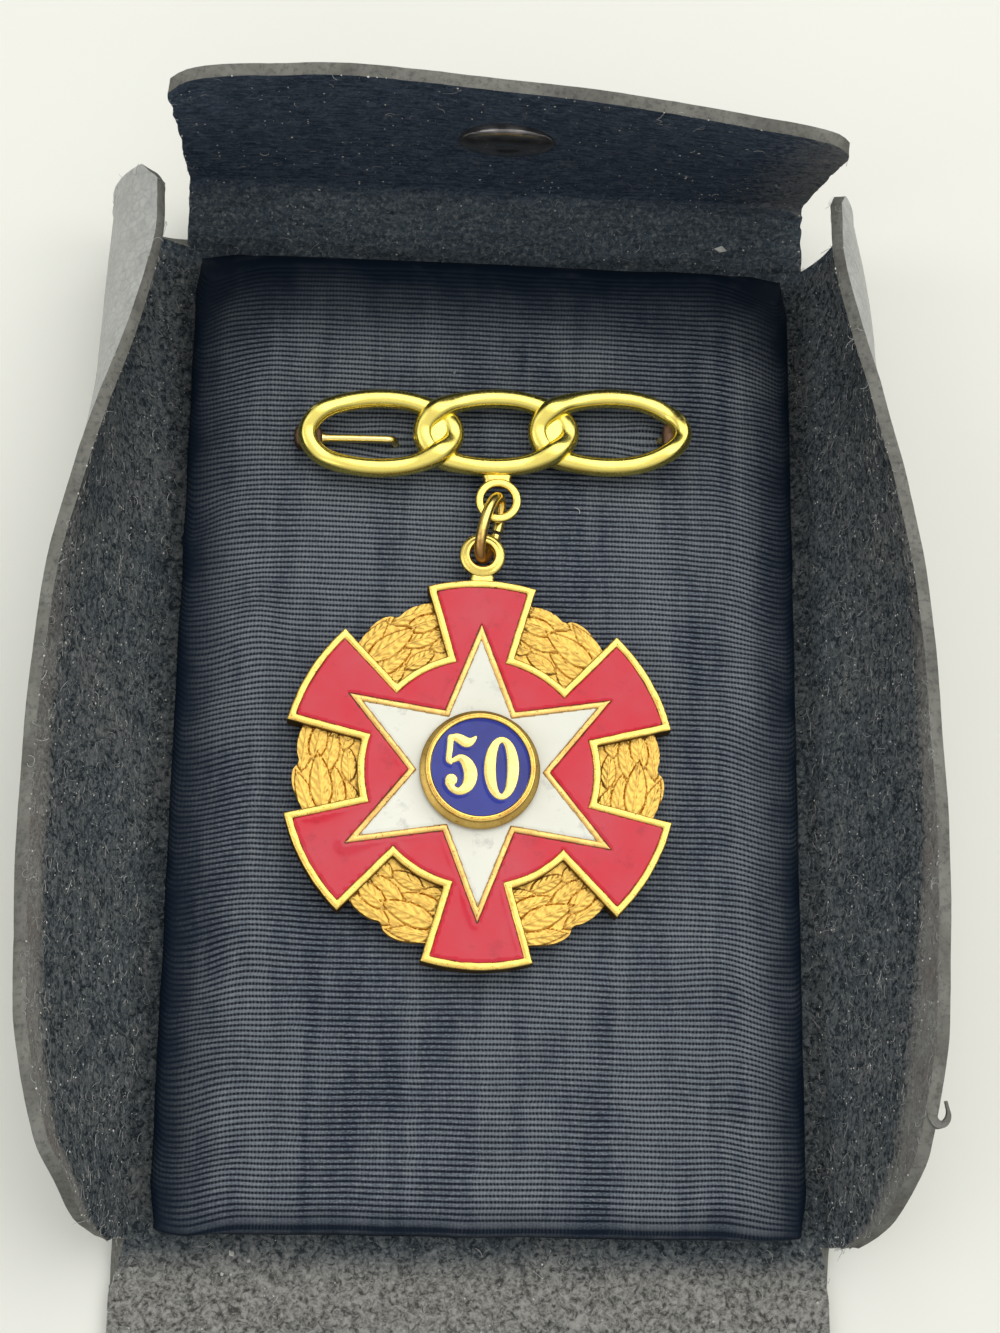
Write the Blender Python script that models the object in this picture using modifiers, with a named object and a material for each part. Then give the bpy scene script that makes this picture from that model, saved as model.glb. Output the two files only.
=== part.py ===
"""An enamelled lapel pin on the cloth pad of its folding leather case, lying open.

Metres, +Z up. The origin is the centre of the case's flat underside, +Y runs towards the snap flap.
"""

import math

import bmesh
import bpy
from mathutils import Matrix, Vector

# Case leather
LEATHER = 0.0012
FOLD_RADIUS = 0.0025
SIDE_FLAP = 0.0240
SNAP_FLAP = 0.0360
SNAP_FLAP_FLARE = 0.03
SNAP_BAND = 55.0
SNAP_CREASE = 0.0100
CREASE_RADIUS = 0.0040
SOCKET_ALONG = 0.0236
SOCKET_SHARE = 0.50
CLOSED_HEIGHT = 0.0100
STUD_MARGIN = 0.0090
COVER_ROUND = 0.0060
CORNER_FLATTEN = 0.0050
EAR_HEIGHT = 0.0100
EAR_LEAST = 0.25
EAR_TRIM = 0.03

# Pad
PAD_WIDTH = 0.0608
PAD_LENGTH = 0.0973
PAD_WALL = 0.0044
PAD_CROWN = 0.0005
PAD_ROUND = 0.0012
PAD_SIDE_GAP = 0.0005

# Press stud
SNAP_RADIUS = 0.0047
SNAP_HEIGHT = 0.0012
STUD_RADIUS = 0.0030
STUD_HEIGHT = 0.0019
CAP_RADIUS = 0.0055
CAP_HEIGHT = 0.0009

# Pendant
PENDANT_X = -0.0010
PENDANT_Y = -0.0057
PENDANT_RADIUS = 0.0190
PENDANT_THICKNESS = 0.00225
ARM_HALF_ANGLE = 16.2
NOTCH_RADIUS = 0.01165
RIM = 0.00075
STAR_TIP = 0.01463
STAR_WAIST = 0.00678
STAR_RIM = 0.00060
ENAMEL_DEPTH = 0.0008
ENAMEL_SINK = 0.00008

# Wreath between the arms
WREATH_RADIUS = 0.0170
WREATH_DROP = 0.0011
LEAF_RISE = 0.0006
LEAF_EDGE = 0.00018
LEAF_ROOT = 0.0005

# Medallion
MEDALLION_RADIUS = 0.00575
MEDALLION_TOP_RADIUS = 0.00522
MEDALLION_RIM = 0.00050
MEDALLION_HEIGHT = 0.00165
MEDALLION_FLOOR = 0.0005
MEDALLION_WAIST = 0.99
WAIST_HEIGHT = 0.55
SHOULDER_HEIGHT = 0.25
RIVET_RADIUS = 0.0020
DIGIT_HEIGHT = 0.0062

# Bail, jump ring and bar
BAIL_RISE = 0.00263
BAIL_RADIUS = 0.00170
BAIL_WIRE = 0.00055
BAIL_FOOT = 0.0015
BAIL_HEAD = 0.00105
BAIL_NECK_DROP = 0.00044
BAIL_NECK_RISE = 0.00028
RING_LONG = 0.00325
RING_WIDE = 0.00150
RING_WIRE = 0.00050
RING_PLAY = 0.00030
RING_TURN = 14.5
RING_TILT = 62.0
RING_CUT = 0.00020
EYE_RADIUS = 0.00185
EYE_WIRE = 0.00042
EYE_DROP = 0.00717
EYE_NECK_HEAD = 0.0015
EYE_NECK_FOOT = 0.00095
EYE_NECK_HALF = 0.00038
LINK_LENGTH = 0.0164
LINK_WIDTH = 0.0092
LINK_WIRE = 0.00095
LINK_PITCH = 0.01143
LINK_COUNT = 3
LINK_CROSS = 0.00050
CROSS_SPREAD = 0.55
BAR_TURN = 2.4
BAR_LIFT = 0.0020
EYE_LIFT = 0.0022

# Pin stem, joint and catch
STEM_RADIUS = 0.00042
STEM_DIP = 0.0024
STEM_LIFT = 0.00075
STEM_START = 0.0178
STEM_END = 0.0176
JOINT_AT = 0.0186
JOINT_SIZE = (0.0028, 0.0024)
CATCH_AT = 0.0176
CATCH_SIZE = (0.0016, 0.0024)
FITTING_BACK = 0.00035
FITTING_HEAD = 0.00033

# Clearances between pieces
SEAT_GAP = 0.0003
BACK_GAP = 0.00039
CELL_GAP = 0.0001
STEM_GAP = 0.00025
DISC_GAP = 0.0004

# Levels
BASE_MIDDLE = LEATHER / 2
PAD_BOTTOM = LEATHER + SEAT_GAP
PAD_EDGE_TOP = PAD_BOTTOM + PAD_WALL
PAD_TOP = PAD_EDGE_TOP + PAD_CROWN
PENDANT_BACK = PAD_TOP + BACK_GAP
PENDANT_FRONT = PENDANT_BACK + PENDANT_THICKNESS
ENAMEL_FLOOR = PENDANT_FRONT - ENAMEL_DEPTH
WREATH_TOP = PENDANT_FRONT - WREATH_DROP
BAR_LEVEL = PAD_TOP + BAR_LIFT
EYE_LEVEL = PAD_TOP + EYE_LIFT

# Base of the case, and the length the cover needs to reach the socket when the case is shut
BASE_HALF_WIDTH = PAD_WIDTH / 2 + PAD_SIDE_GAP
BASE_HALF_LENGTH = PAD_LENGTH / 2 + PAD_SIDE_GAP
COVER_FLAP = 2 * BASE_HALF_LENGTH + 2 * CLOSED_HEIGHT - SOCKET_ALONG + STUD_MARGIN

# Flap rows, from one end of the fold to the other. Columns: share of the fold, reach as a share of the
# flap's width, mean slope of the wall in degrees, and how much the wall curls over its width
LEFT_FLAP = (
    (0.000, 0.30, 78.0, 14),
    (0.014, 0.54, 78.0, 14),
    (0.040, 0.76, 78.0, 14),
    (0.080, 0.92, 73.5, 12),
    (0.180, 1.00, 68.0, 10),
    (0.300, 1.00, 66.0, 10),
    (0.440, 1.00, 66.0, 10),
    (0.580, 1.00, 69.0, 14),
    (0.700, 1.00, 75.0, 42),
    (0.785, 1.00, 79.0, 80),
    (0.865, 1.00, 83.0, 108),
    (0.945, 1.00, 86.5, 124),
    (1.000, 0.98, 88.0, 122),
)
RIGHT_FLAP = (
    (0.000, 0.30, 80.0, 12),
    (0.014, 0.54, 80.0, 12),
    (0.040, 0.76, 80.0, 12),
    (0.080, 0.92, 77.5, 12),
    (0.180, 1.00, 73.0, 10),
    (0.300, 1.00, 71.0, 10),
    (0.440, 1.00, 71.0, 10),
    (0.580, 1.00, 73.5, 16),
    (0.700, 1.00, 79.0, 22),
    (0.785, 1.00, 84.0, 36),
    (0.865, 1.00, 88.0, 72),
    (0.945, 0.98, 92.5, 84),
    (1.000, 0.93, 95.5, 64),
)
TOP_FLAP = (
    (0.00, 0.92, 97.0, 4),
    (0.02, 0.965, 96.5, 4),
    (0.06, 0.995, 96.0, 4),
    (0.14, 1.00, 95.0, 4),
    (0.27, 1.00, 94.2, 4),
    (0.50, 1.00, 96.2, 4),
    (0.75, 1.00, 99.6, 4),
    (0.90, 1.00, 102.4, 4),
    (0.95, 0.985, 103.2, 4),
    (0.98, 0.95, 103.6, 4),
    (1.00, 0.89, 104.0, 4),
)
BEND_STEPS = 3
SIDE_STEPS = 5
SNAP_STEPS = 9
COVER_STEPS = 5

# How many of the bend's steps each flap shares with its neighbour round the corner of the base
LEFT_EAR = 3
RIGHT_EAR = 2
SNAP_EAR = 2
COVER_EARS = (3, 2)

# The wreath's scalloped edge in one gap, as seen on the right side. Columns: bearing from the gap's middle
# towards the pendant's top in degrees, and how far the edge stands out as a share of the wreath's radius
WREATH_EDGE = (
    (-16.0, 0.000),
    (-12.0, 0.016),
    (-8.0, 0.037),
    (-4.0, 0.048),
    (-0.5, 0.040),
    (2.0, 0.010),
    (5.0, 0.024),
    (9.0, 0.031),
    (13.0, 0.026),
    (16.0, 0.010),
)

# Wreath leaves of one gap, as seen on the right side. Columns: bearing and radius of the stem, bearing and
# radius of the tip, width, and height. Bearings are degrees from the gap's middle towards the pendant's
# top, radii and width are shares of the pendant's radius, and height is a share of the leaf's rise
LEAVES = (
    (-14.0, 0.878, 1.0, 0.908, 0.066, 0.70),
    (1.5, 0.880, 17.0, 0.886, 0.066, 0.70),
    (-14.0, 0.735, 2.0, 0.712, 0.072, 0.65),
    (0.5, 0.765, 17.0, 0.752, 0.066, 0.60),
    (3.5, 0.826, 18.5, 0.828, 0.076, 0.80),
    (-15.0, 0.806, 4.5, 0.812, 0.096, 1.00),
)
LEAF_POINTS = 3
LEAF_SKEW = 0.85
LEAF_FULLNESS = 0.8

# A leaf's midrib. Columns: share of the leaf's length, and share of its height
MIDRIB = ((0.15, 0.86), (0.55, 0.98), (0.88, 0.85))

# Press stud profiles from the axis round to the axis. Columns: share of the radius, share of the height
SOCKET_PROFILE = ((0, 0.45), (0.42, 0.45), (0.50, 0.80), (0.82, 1.00), (1.00, 0.45), (0.96, 0), (0, 0))
CAP_PROFILE = ((0, 1.00), (0.60, 0.85), (0.92, 0.45), (1.00, 0), (0, 0))
POST_PROFILE = ((0, 1.00), (0.55, 1.00), (0.70, 0.80), (0.55, 0.50), (1.40, 0.22), (1.50, 0), (0, 0))

# How deep the stem runs under the cloth. Columns: share of the stem's length, and share of its dip
STEM_ROWS = (
    (0.000, 0.00),
    (0.130, 0.04),
    (0.220, 0.42),
    (0.320, 0.80),
    (0.480, 1.00),
    (0.700, 1.00),
    (0.840, 0.97),
    (0.900, 0.78),
    (0.950, 0.36),
    (0.985, 0.06),
    (1.000, 0.00),
)

# Digit strokes. Columns: across and up from the medallion's centre, and half the stroke's width, all as
# shares of the digits' height. The ball has those columns, and a nought has its half width and half height
FIVE_FLAG = (
    (-0.480, 0.425, 0.045),
    (-0.410, 0.455, 0.062),
    (-0.330, 0.435, 0.080),
    (-0.225, 0.380, 0.088),
    (-0.145, 0.400, 0.062),
    (-0.085, 0.460, 0.032),
)
FIVE_STEM = (
    (-0.465, 0.450, 0.055),
    (-0.475, 0.270, 0.056),
    (-0.490, 0.105, 0.050),
    (-0.455, 0.045, 0.028),
)
FIVE_BOWL = (
    (-0.440, 0.080, 0.040),
    (-0.310, 0.135, 0.062),
    (-0.200, 0.040, 0.098),
    (-0.150, -0.120, 0.112),
    (-0.190, -0.290, 0.098),
    (-0.310, -0.385, 0.066),
    (-0.420, -0.350, 0.060),
    (-0.475, -0.260, 0.070),
)
FIVE_BALL = (-0.445, -0.210, 0.100)
NOUGHT = (0.320, -0.010, 0.275, 0.500)
NOUGHT_COUNTER = (0.320, -0.010, 0.080, 0.385)

# Mesh resolution
ROUND_STEPS = 32
SMALL_STEPS = 18
LINK_POINTS = 28
RING_POINTS = 20
ARM_STEPS = 6
NOTCH_STEPS = 4
ARMS = 6
PAD_CELLS = (8, 12)
MERGE = 0.00001

MATERIALS = {
    "leather": ((0.030, 0.031, 0.034), 0.85, 0.0),
    "cloth": ((0.012, 0.016, 0.030), 0.75, 0.0),
    "dark_metal": ((0.045, 0.043, 0.045), 0.40, 0.8),
    "gilt": ((0.86, 0.64, 0.22), 0.28, 1.0),
    "red_enamel": ((0.62, 0.020, 0.055), 0.12, 0.0),
    "white_enamel": ((0.86, 0.86, 0.83), 0.15, 0.0),
    "blue_enamel": ((0.030, 0.045, 0.34), 0.10, 0.0),
}


def clear_scene():
    for obj in list(bpy.data.objects):
        bpy.data.objects.remove(obj, do_unlink=True)


def collection(name):
    made = bpy.data.collections.new(name)
    bpy.context.scene.collection.children.link(made)
    return made


def material(name):
    found = bpy.data.materials.get(name)
    if found:
        return found
    colour, roughness, metallic = MATERIALS[name]
    made = bpy.data.materials.new(name)
    made.use_nodes = True
    shader = made.node_tree.nodes["Principled BSDF"]
    shader.inputs["Base Color"].default_value = (*colour, 1.0)
    shader.inputs["Roughness"].default_value = roughness
    shader.inputs["Metallic"].default_value = metallic
    made.diffuse_color = (*colour, 1.0)
    return made


def add_mesh(name, mesh, place=None):
    """A new object in the working collection, at this place."""
    obj = bpy.data.objects.new(name, mesh)
    WORK.objects.link(obj)
    obj.matrix_world = place or Matrix.Identity(4)
    bpy.context.view_layer.update()
    return obj


def from_bmesh(name, shape, place=None):
    bmesh.ops.recalc_face_normals(shape, faces=shape.faces)
    mesh = bpy.data.meshes.new(name)
    shape.to_mesh(mesh)
    shape.free()
    return add_mesh(name, mesh, place)


def realise(obj):
    """The object with its modifiers applied, or its curve made a mesh with welded caps."""
    graph = bpy.context.evaluated_depsgraph_get()
    mesh = bpy.data.meshes.new_from_object(obj.evaluated_get(graph))
    name, place, curve = obj.name, obj.matrix_world.copy(), obj.type == "CURVE"
    bpy.data.objects.remove(obj, do_unlink=True)
    if curve:
        shape = bmesh.new()
        shape.from_mesh(mesh)
        bmesh.ops.remove_doubles(shape, verts=shape.verts, dist=MERGE)
        shape.to_mesh(mesh)
        shape.free()
    return add_mesh(name, mesh, place)


def combine(target, tool, operation):
    """Joins or cuts the target with the tool, which is used up."""
    step = target.modifiers.new("combine", "BOOLEAN")
    step.operation = operation
    step.solver = "EXACT"
    step.object = tool
    bpy.context.view_layer.update()
    made = realise(target)
    bpy.data.objects.remove(tool, do_unlink=True)
    return made


def finish(obj, name, finish_name, smooth=True):
    """Names a finished piece, gives it its material and moves it to the part's collection."""
    obj.name = name
    obj.data.name = name
    obj.data.materials.clear()
    obj.data.materials.append(material(finish_name))
    if smooth:
        obj.data.shade_smooth()
        obj.data.set_sharp_from_angle(angle=math.radians(35))
    WORK.objects.unlink(obj)
    PART.objects.link(obj)
    return obj


def prism(outline, low, high, place=None):
    """A flat outline raised from one level to the other."""
    shape = bmesh.new()
    face = shape.faces.new([shape.verts.new((x, y, low)) for x, y in outline])
    raised = bmesh.ops.extrude_face_region(shape, geom=[face])["geom"]
    top = [item for item in raised if isinstance(item, bmesh.types.BMVert)]
    bmesh.ops.translate(shape, verts=top, vec=(0, 0, high - low))
    return from_bmesh("prism", shape, place)


def circle(radius, steps, across=0.0, up=0.0, stretch=1.0):
    turn = 2 * math.pi / steps
    return [
        (across + radius * math.cos(k * turn), up + radius * stretch * math.sin(k * turn))
        for k in range(steps)
    ]


def scaled(profile, radius, height):
    return [(across * radius, up * height) for across, up in profile]


def turned(profile, steps, place=None):
    """A profile of (radius, height) from the top of the axis down its outer side, turned about Z."""
    mesh = bpy.data.meshes.new("turned")
    points = [(radius, 0, height) for radius, height in profile]
    mesh.from_pydata(points, [(k, k + 1) for k in range(len(points) - 1)], [])
    obj = add_mesh("turned", mesh, place)
    screw = obj.modifiers.new("turn", "SCREW")
    screw.axis = "Z"
    screw.steps = screw.render_steps = steps
    screw.use_merge_vertices = True
    screw.merge_threshold = MERGE
    return realise(obj)


def wire(points, radius, resolution, cyclic, place=None):
    """A round wire along points."""
    curve = bpy.data.curves.new("wire", "CURVE")
    curve.dimensions = "3D"
    curve.bevel_depth = radius
    curve.bevel_resolution = resolution
    curve.use_fill_caps = not cyclic
    spline = curve.splines.new("POLY")
    spline.points.add(len(points) - 1)
    for point, at in zip(spline.points, points):
        point.co = (*at, 1.0)
    spline.use_cyclic_u = cyclic
    obj = bpy.data.objects.new("wire", curve)
    WORK.objects.link(obj)
    obj.matrix_world = place or Matrix.Identity(4)
    bpy.context.view_layer.update()
    return realise(obj)


def block(size, centre, place=None):
    shape = bmesh.new()
    bmesh.ops.create_cube(shape, size=1.0)
    bmesh.ops.scale(shape, vec=size, verts=shape.verts)
    bmesh.ops.translate(shape, vec=centre, verts=shape.verts)
    return from_bmesh("block", shape, place)


def torus(radius, wire_radius, steps, sides, place):
    bpy.ops.mesh.primitive_torus_add(
        major_radius=radius, minor_radius=wire_radius, major_segments=steps, minor_segments=sides
    )
    obj = bpy.context.active_object
    for owner in obj.users_collection:
        owner.objects.unlink(obj)
    WORK.objects.link(obj)
    obj.matrix_world = place
    bpy.context.view_layer.update()
    return obj


def read_row(rows, share):
    """The other columns of a table at this share, on a smooth curve through its rows."""
    low = max(k for k in range(len(rows) - 1) if rows[k][0] <= share)
    here, there = rows[low], rows[low + 1]
    before, after = rows[max(low - 1, 0)], rows[min(low + 2, len(rows) - 1)]
    span = there[0] - here[0]
    t = (share - here[0]) / span
    columns = []
    for column in range(1, len(here)):
        leave = (there[column] - before[column]) / (there[0] - before[0]) * span
        arrive = (after[column] - here[column]) / (after[0] - here[0]) * span
        rise = there[column] - here[column]
        columns.append(
            here[column]
            + t * leave
            + t * t * (3 * rise - 2 * leave - arrive)
            + t * t * t * (leave + arrive - 2 * rise)
        )
    return columns


def side_section(slope, curl):
    """A side flap's section as runs of (length, turn): a bend at the fold, then a steady curl."""
    lean = math.radians(slope - curl / 2)
    bend = FOLD_RADIUS * lean
    return [(bend, lean), (SIDE_FLAP - bend, math.radians(curl))]


def snap_section(slope, curl):
    """The snap flap's section: a bend, a straight band up to its crease, and the wall over the crease."""
    band, start = math.radians(SNAP_BAND), math.radians(slope - curl / 2)
    bend, crease = FOLD_RADIUS * band, CREASE_RADIUS * (start - band)
    before = SNAP_CREASE - crease / 2
    return [
        (bend, band),
        (before - bend, 0.0),
        (crease, start - band),
        (SNAP_FLAP - before - crease, math.radians(curl)),
    ]


def walk(runs, distance):
    """(out, up, turn) this far along a section's runs."""
    out = up = turn = 0.0
    for length, bend in runs:
        part = min(length, distance)
        chord, lean = part, turn + bend * part / length / 2
        if abs(bend) > MERGE:
            chord = 2 * length / bend * math.sin(bend * part / length / 2)
        out, up = out + chord * math.cos(lean), up + chord * math.sin(lean)
        turn += bend * part / length
        distance -= part
    return out, up, turn


def flap_point(rows, section, share, step, steps, trim=0.0):
    """(out, up, distance) at a step of the flap: the bend's steps, then the wall's to its free edge."""
    reach, slope, curl = read_row(rows, share)
    runs = section(slope, curl)
    bend = runs[0][0]
    distance = bend * step / BEND_STEPS
    if step > BEND_STEPS:
        wall = sum(length for length, _ in runs) * (reach - trim) - bend
        distance = bend + wall * (step - BEND_STEPS) / (steps - BEND_STEPS)
    out, up, _ = walk(runs, distance)
    return out, up, distance


def cover_rise():
    """The slope that rests the flat cover on its press stud."""
    return math.asin((STUD_HEIGHT + 2 * CELL_GAP) / (COVER_FLAP - STUD_MARGIN))


def cover_distance(across, step):
    """How far a step of the cover lies from the fold, with its two free corners rounded."""
    if step < COVER_STEPS - 1:
        return (0, CORNER_FLATTEN / 2, CORNER_FLATTEN, COVER_FLAP / 2)[step]
    edge = BASE_HALF_WIDTH + FOLD_RADIUS - abs(across)
    inside = max(COVER_ROUND - edge, 0)
    trim = COVER_ROUND - math.sqrt(max(COVER_ROUND**2 - inside**2, 0))
    return COVER_FLAP - (trim if step == COVER_STEPS else 2 * COVER_ROUND)


def case_shell():
    """One sheet of leather: the base and its four flaps, joined round the corners by the bends' ears."""

    def stations(half, rows, low_steps, high_steps):
        low = [(-half, 0.0, -step) for step in range(low_steps, 0, -1)]
        inner = [(half * (2 * row[0] - 1), row[0], 0) for row in rows]
        return low + inner + [(half, 1.0, step) for step in range(1, high_steps + 1)]

    side_steps, snap_steps = BEND_STEPS + SIDE_STEPS, BEND_STEPS + SNAP_STEPS
    columns = stations(BASE_HALF_WIDTH, TOP_FLAP, side_steps, side_steps)
    rows = stations(BASE_HALF_LENGTH, LEFT_FLAP, COVER_STEPS, snap_steps)

    def place(column, row):
        x, share_x, step_x = column
        y, share_y, step_y = row
        corner = step_x != 0 and step_y != 0
        side = up = out = along = lift = 0.0
        if step_x:
            table = LEFT_FLAP if step_x < 0 else RIGHT_FLAP
            trim = EAR_TRIM * step_y if corner and step_y > 0 else 0.0
            out, up, side = flap_point(table, side_section, share_y, abs(step_x), side_steps, trim)
        if step_y > 0:
            trim = EAR_TRIM * abs(step_x) if corner else 0.0
            along, lift, _ = flap_point(TOP_FLAP, snap_section, share_x, step_y, snap_steps, trim)
            if corner and step_y > BEND_STEPS:
                out *= max(1 - lift / EAR_HEIGHT, EAR_LEAST)
                up = 0.0
        if step_y < 0:
            flat = min(cover_distance(0, -step_y) / CORNER_FLATTEN, 1.0)
            out, up = out + (side - out) * flat, up * (1 - flat)
            reach = cover_distance(abs(x) + out, -step_y)
            along, lift = -reach * math.cos(cover_rise()), reach * math.sin(cover_rise())
        spread = 1 + SNAP_FLAP_FLARE * lift / SNAP_FLAP if step_y > 0 else 1
        x = (x + math.copysign(out, step_x)) * (spread if not step_x or step_y > BEND_STEPS else 1)
        return Vector((x, y + along, BASE_MIDDLE + math.hypot(up, lift)))

    def present(step_x, step_y):
        if not step_x or not step_y:
            return True
        if step_y < 0:
            return abs(step_x) <= COVER_EARS[step_x > 0]
        return step_y <= (RIGHT_EAR if step_x > 0 else LEFT_EAR) or abs(step_x) <= SNAP_EAR

    shape = bmesh.new()
    grid = [[shape.verts.new(place(column, row)) for row in rows] for column in columns]
    for i in range(len(columns) - 1):
        for j in range(len(rows) - 1):
            step_x = max(columns[i][2], columns[i + 1][2]) if columns[i + 1][2] > 0 else columns[i][2]
            step_y = max(rows[j][2], rows[j + 1][2]) if rows[j + 1][2] > 0 else rows[j][2]
            if present(step_x, step_y):
                shape.faces.new((grid[i][j], grid[i + 1][j], grid[i + 1][j + 1], grid[i][j + 1]))
    bmesh.ops.delete(shape, geom=[vert for vert in shape.verts if not vert.link_faces], context="VERTS")
    obj = from_bmesh("sheet", shape)
    skin = obj.modifiers.new("thickness", "SOLIDIFY")
    skin.thickness = LEATHER
    skin.offset = 0.0
    skin.use_even_offset = True
    return finish(realise(obj), "case_shell", "leather")


def snap_place(offset):
    """A frame on the snap flap, its Z axis out of the inner face and its Y axis towards the free edge."""
    _, slope, curl = read_row(TOP_FLAP, SOCKET_SHARE)
    out, up, turn = walk(snap_section(slope, curl), SOCKET_ALONG)
    middle = Vector((BASE_HALF_WIDTH * (2 * SOCKET_SHARE - 1), BASE_HALF_LENGTH + out, BASE_MIDDLE + up))
    turned_up = Matrix.Rotation(turn, 4, "X")
    return Matrix.Translation(middle + turned_up @ Vector((0, 0, offset))) @ turned_up


def cover_place(offset):
    """A frame on the cover where its press stud sits, its Z axis out of the inner face."""
    reach, rise = COVER_FLAP - STUD_MARGIN, cover_rise()
    middle = Vector((0, -BASE_HALF_LENGTH - reach * math.cos(rise), BASE_MIDDLE + reach * math.sin(rise)))
    leaned = Matrix.Rotation(-rise, 4, "X")
    return Matrix.Translation(middle + leaned @ Vector((0, 0, offset))) @ leaned


def press_stud():
    """The dished socket and its cap on the snap flap, and the stud and its cap on the cover."""
    skin = LEATHER / 2
    dish = scaled(SOCKET_PROFILE, SNAP_RADIUS, SNAP_HEIGHT)
    dome = scaled(CAP_PROFILE, CAP_RADIUS, CAP_HEIGHT)
    post = scaled(POST_PROFILE, STUD_RADIUS, STUD_HEIGHT)
    turn_over = Matrix.Rotation(math.pi, 4, "X")
    finish(turned(dish, SMALL_STEPS, snap_place(skin + DISC_GAP)), "snap_socket", "dark_metal")
    finish(turned(dome, SMALL_STEPS, snap_place(-skin - SEAT_GAP) @ turn_over), "snap_cap", "dark_metal")
    finish(turned(dome, SMALL_STEPS, cover_place(skin + CELL_GAP)), "stud_cap", "dark_metal")
    finish(turned(post, SMALL_STEPS, cover_place(-skin - CELL_GAP) @ turn_over), "snap_stud", "dark_metal")


def pad(stem):
    """The crowned cloth pad, with the channel that the pin's stem runs in under the cloth."""
    shape = bmesh.new()
    bmesh.ops.create_grid(shape, x_segments=PAD_CELLS[0], y_segments=PAD_CELLS[1], size=0.5)
    top = shape.faces[:]
    for vert in shape.verts:
        share_x, share_y = 2 * vert.co.x, 2 * vert.co.y
        crown = PAD_CROWN * (1 - share_x * share_x) * (1 - share_y * share_y)
        vert.co = (vert.co.x * PAD_WIDTH, vert.co.y * PAD_LENGTH, PAD_EDGE_TOP + crown)
    made = bmesh.ops.extrude_face_region(shape, geom=top)["geom"]
    low = {item for item in made if isinstance(item, bmesh.types.BMVert)}
    for vert in low:
        vert.co.z = PAD_BOTTOM
    bmesh.ops.dissolve_faces(shape, faces=[face for face in shape.faces if low.issuperset(face.verts)])
    bmesh.ops.recalc_face_normals(shape, faces=shape.faces)
    shape.normal_update()
    sharp = [edge for edge in shape.edges if edge.calc_face_angle() > math.radians(60)]
    rounded = [edge for edge in sharp if not low.issuperset(edge.verts)]
    bmesh.ops.bevel(shape, geom=rounded, offset=PAD_ROUND, segments=3, profile=0.5, affect="EDGES")
    obj = from_bmesh("pad", shape)
    channel = wire(stem, STEM_RADIUS + STEM_GAP, 2, False, bar_place())
    return finish(combine(obj, channel, "DIFFERENCE"), "pad", "cloth")


def pendant_place(level=0.0):
    return Matrix.Translation((PENDANT_X, PENDANT_Y, level))


def bail_centre():
    return Vector((PENDANT_X, PENDANT_Y + PENDANT_RADIUS + BAIL_RISE, EYE_LEVEL))


def ring_direction():
    turn = math.radians(RING_TURN)
    return Vector((math.sin(turn), math.cos(turn), 0))


def eye_centre():
    return bail_centre() + 2 * (RING_LONG - RING_PLAY) * ring_direction()


def bar_place():
    """The bar's frame: its middle, turned a little, on the level of the wire's centre."""
    turn = Matrix.Rotation(math.radians(BAR_TURN), 4, "Z")
    middle = eye_centre() + turn @ Vector((0, EYE_DROP, 0))
    middle.z = BAR_LEVEL
    return Matrix.Translation(middle) @ turn


def bearing(degrees, radius):
    """A point at this bearing, clockwise from the pendant's top."""
    turn = math.radians(degrees)
    return radius * math.sin(turn), radius * math.cos(turn)


def cross_outline(inset):
    """The six arms and the notches between them, drawn in by this much all round."""
    outer, inner = PENDANT_RADIUS - inset, NOTCH_RADIUS - inset
    wide = ARM_HALF_ANGLE - math.degrees(math.asin(inset / outer))
    narrow = ARM_HALF_ANGLE - math.degrees(math.asin(inset / inner))
    gap = 180 / ARMS
    points = []
    for arm in range(ARMS):
        middle = arm * 360 / ARMS
        points += [bearing(middle - wide + 2 * wide * k / ARM_STEPS, outer) for k in range(ARM_STEPS + 1)]
        start, span = middle + narrow, 2 * (gap - narrow)
        points += [bearing(start + span * k / NOTCH_STEPS, inner) for k in range(NOTCH_STEPS + 1)]
    return points[::-1]


def star_outline(inset):
    """The six-pointed star drawn in by this much: its edges all lie equally far from the centre."""
    half = math.radians(180 / ARMS)
    chord = math.sqrt(STAR_TIP**2 + STAR_WAIST**2 - 2 * STAR_TIP * STAR_WAIST * math.cos(half))
    scale = 1 - inset * chord / (STAR_TIP * STAR_WAIST * math.sin(half))
    points = []
    for arm in range(ARMS):
        middle = arm * 360 / ARMS
        points += [bearing(middle, STAR_TIP * scale), bearing(middle + 180 / ARMS, STAR_WAIST * scale)]
    return points[::-1]


def wreath_outline():
    """The scalloped edge of the wreath, which runs up both sides to the pendant's top."""
    points = []
    for gap in range(ARMS):
        middle = (gap + 0.5) * 360 / ARMS
        side = -1 if middle < 180 else 1
        edge = [bearing(middle + side * turn, WREATH_RADIUS * (1 + out)) for turn, out in WREATH_EDGE]
        points += edge if side > 0 else edge[::-1]
    return points[::-1]


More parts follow.
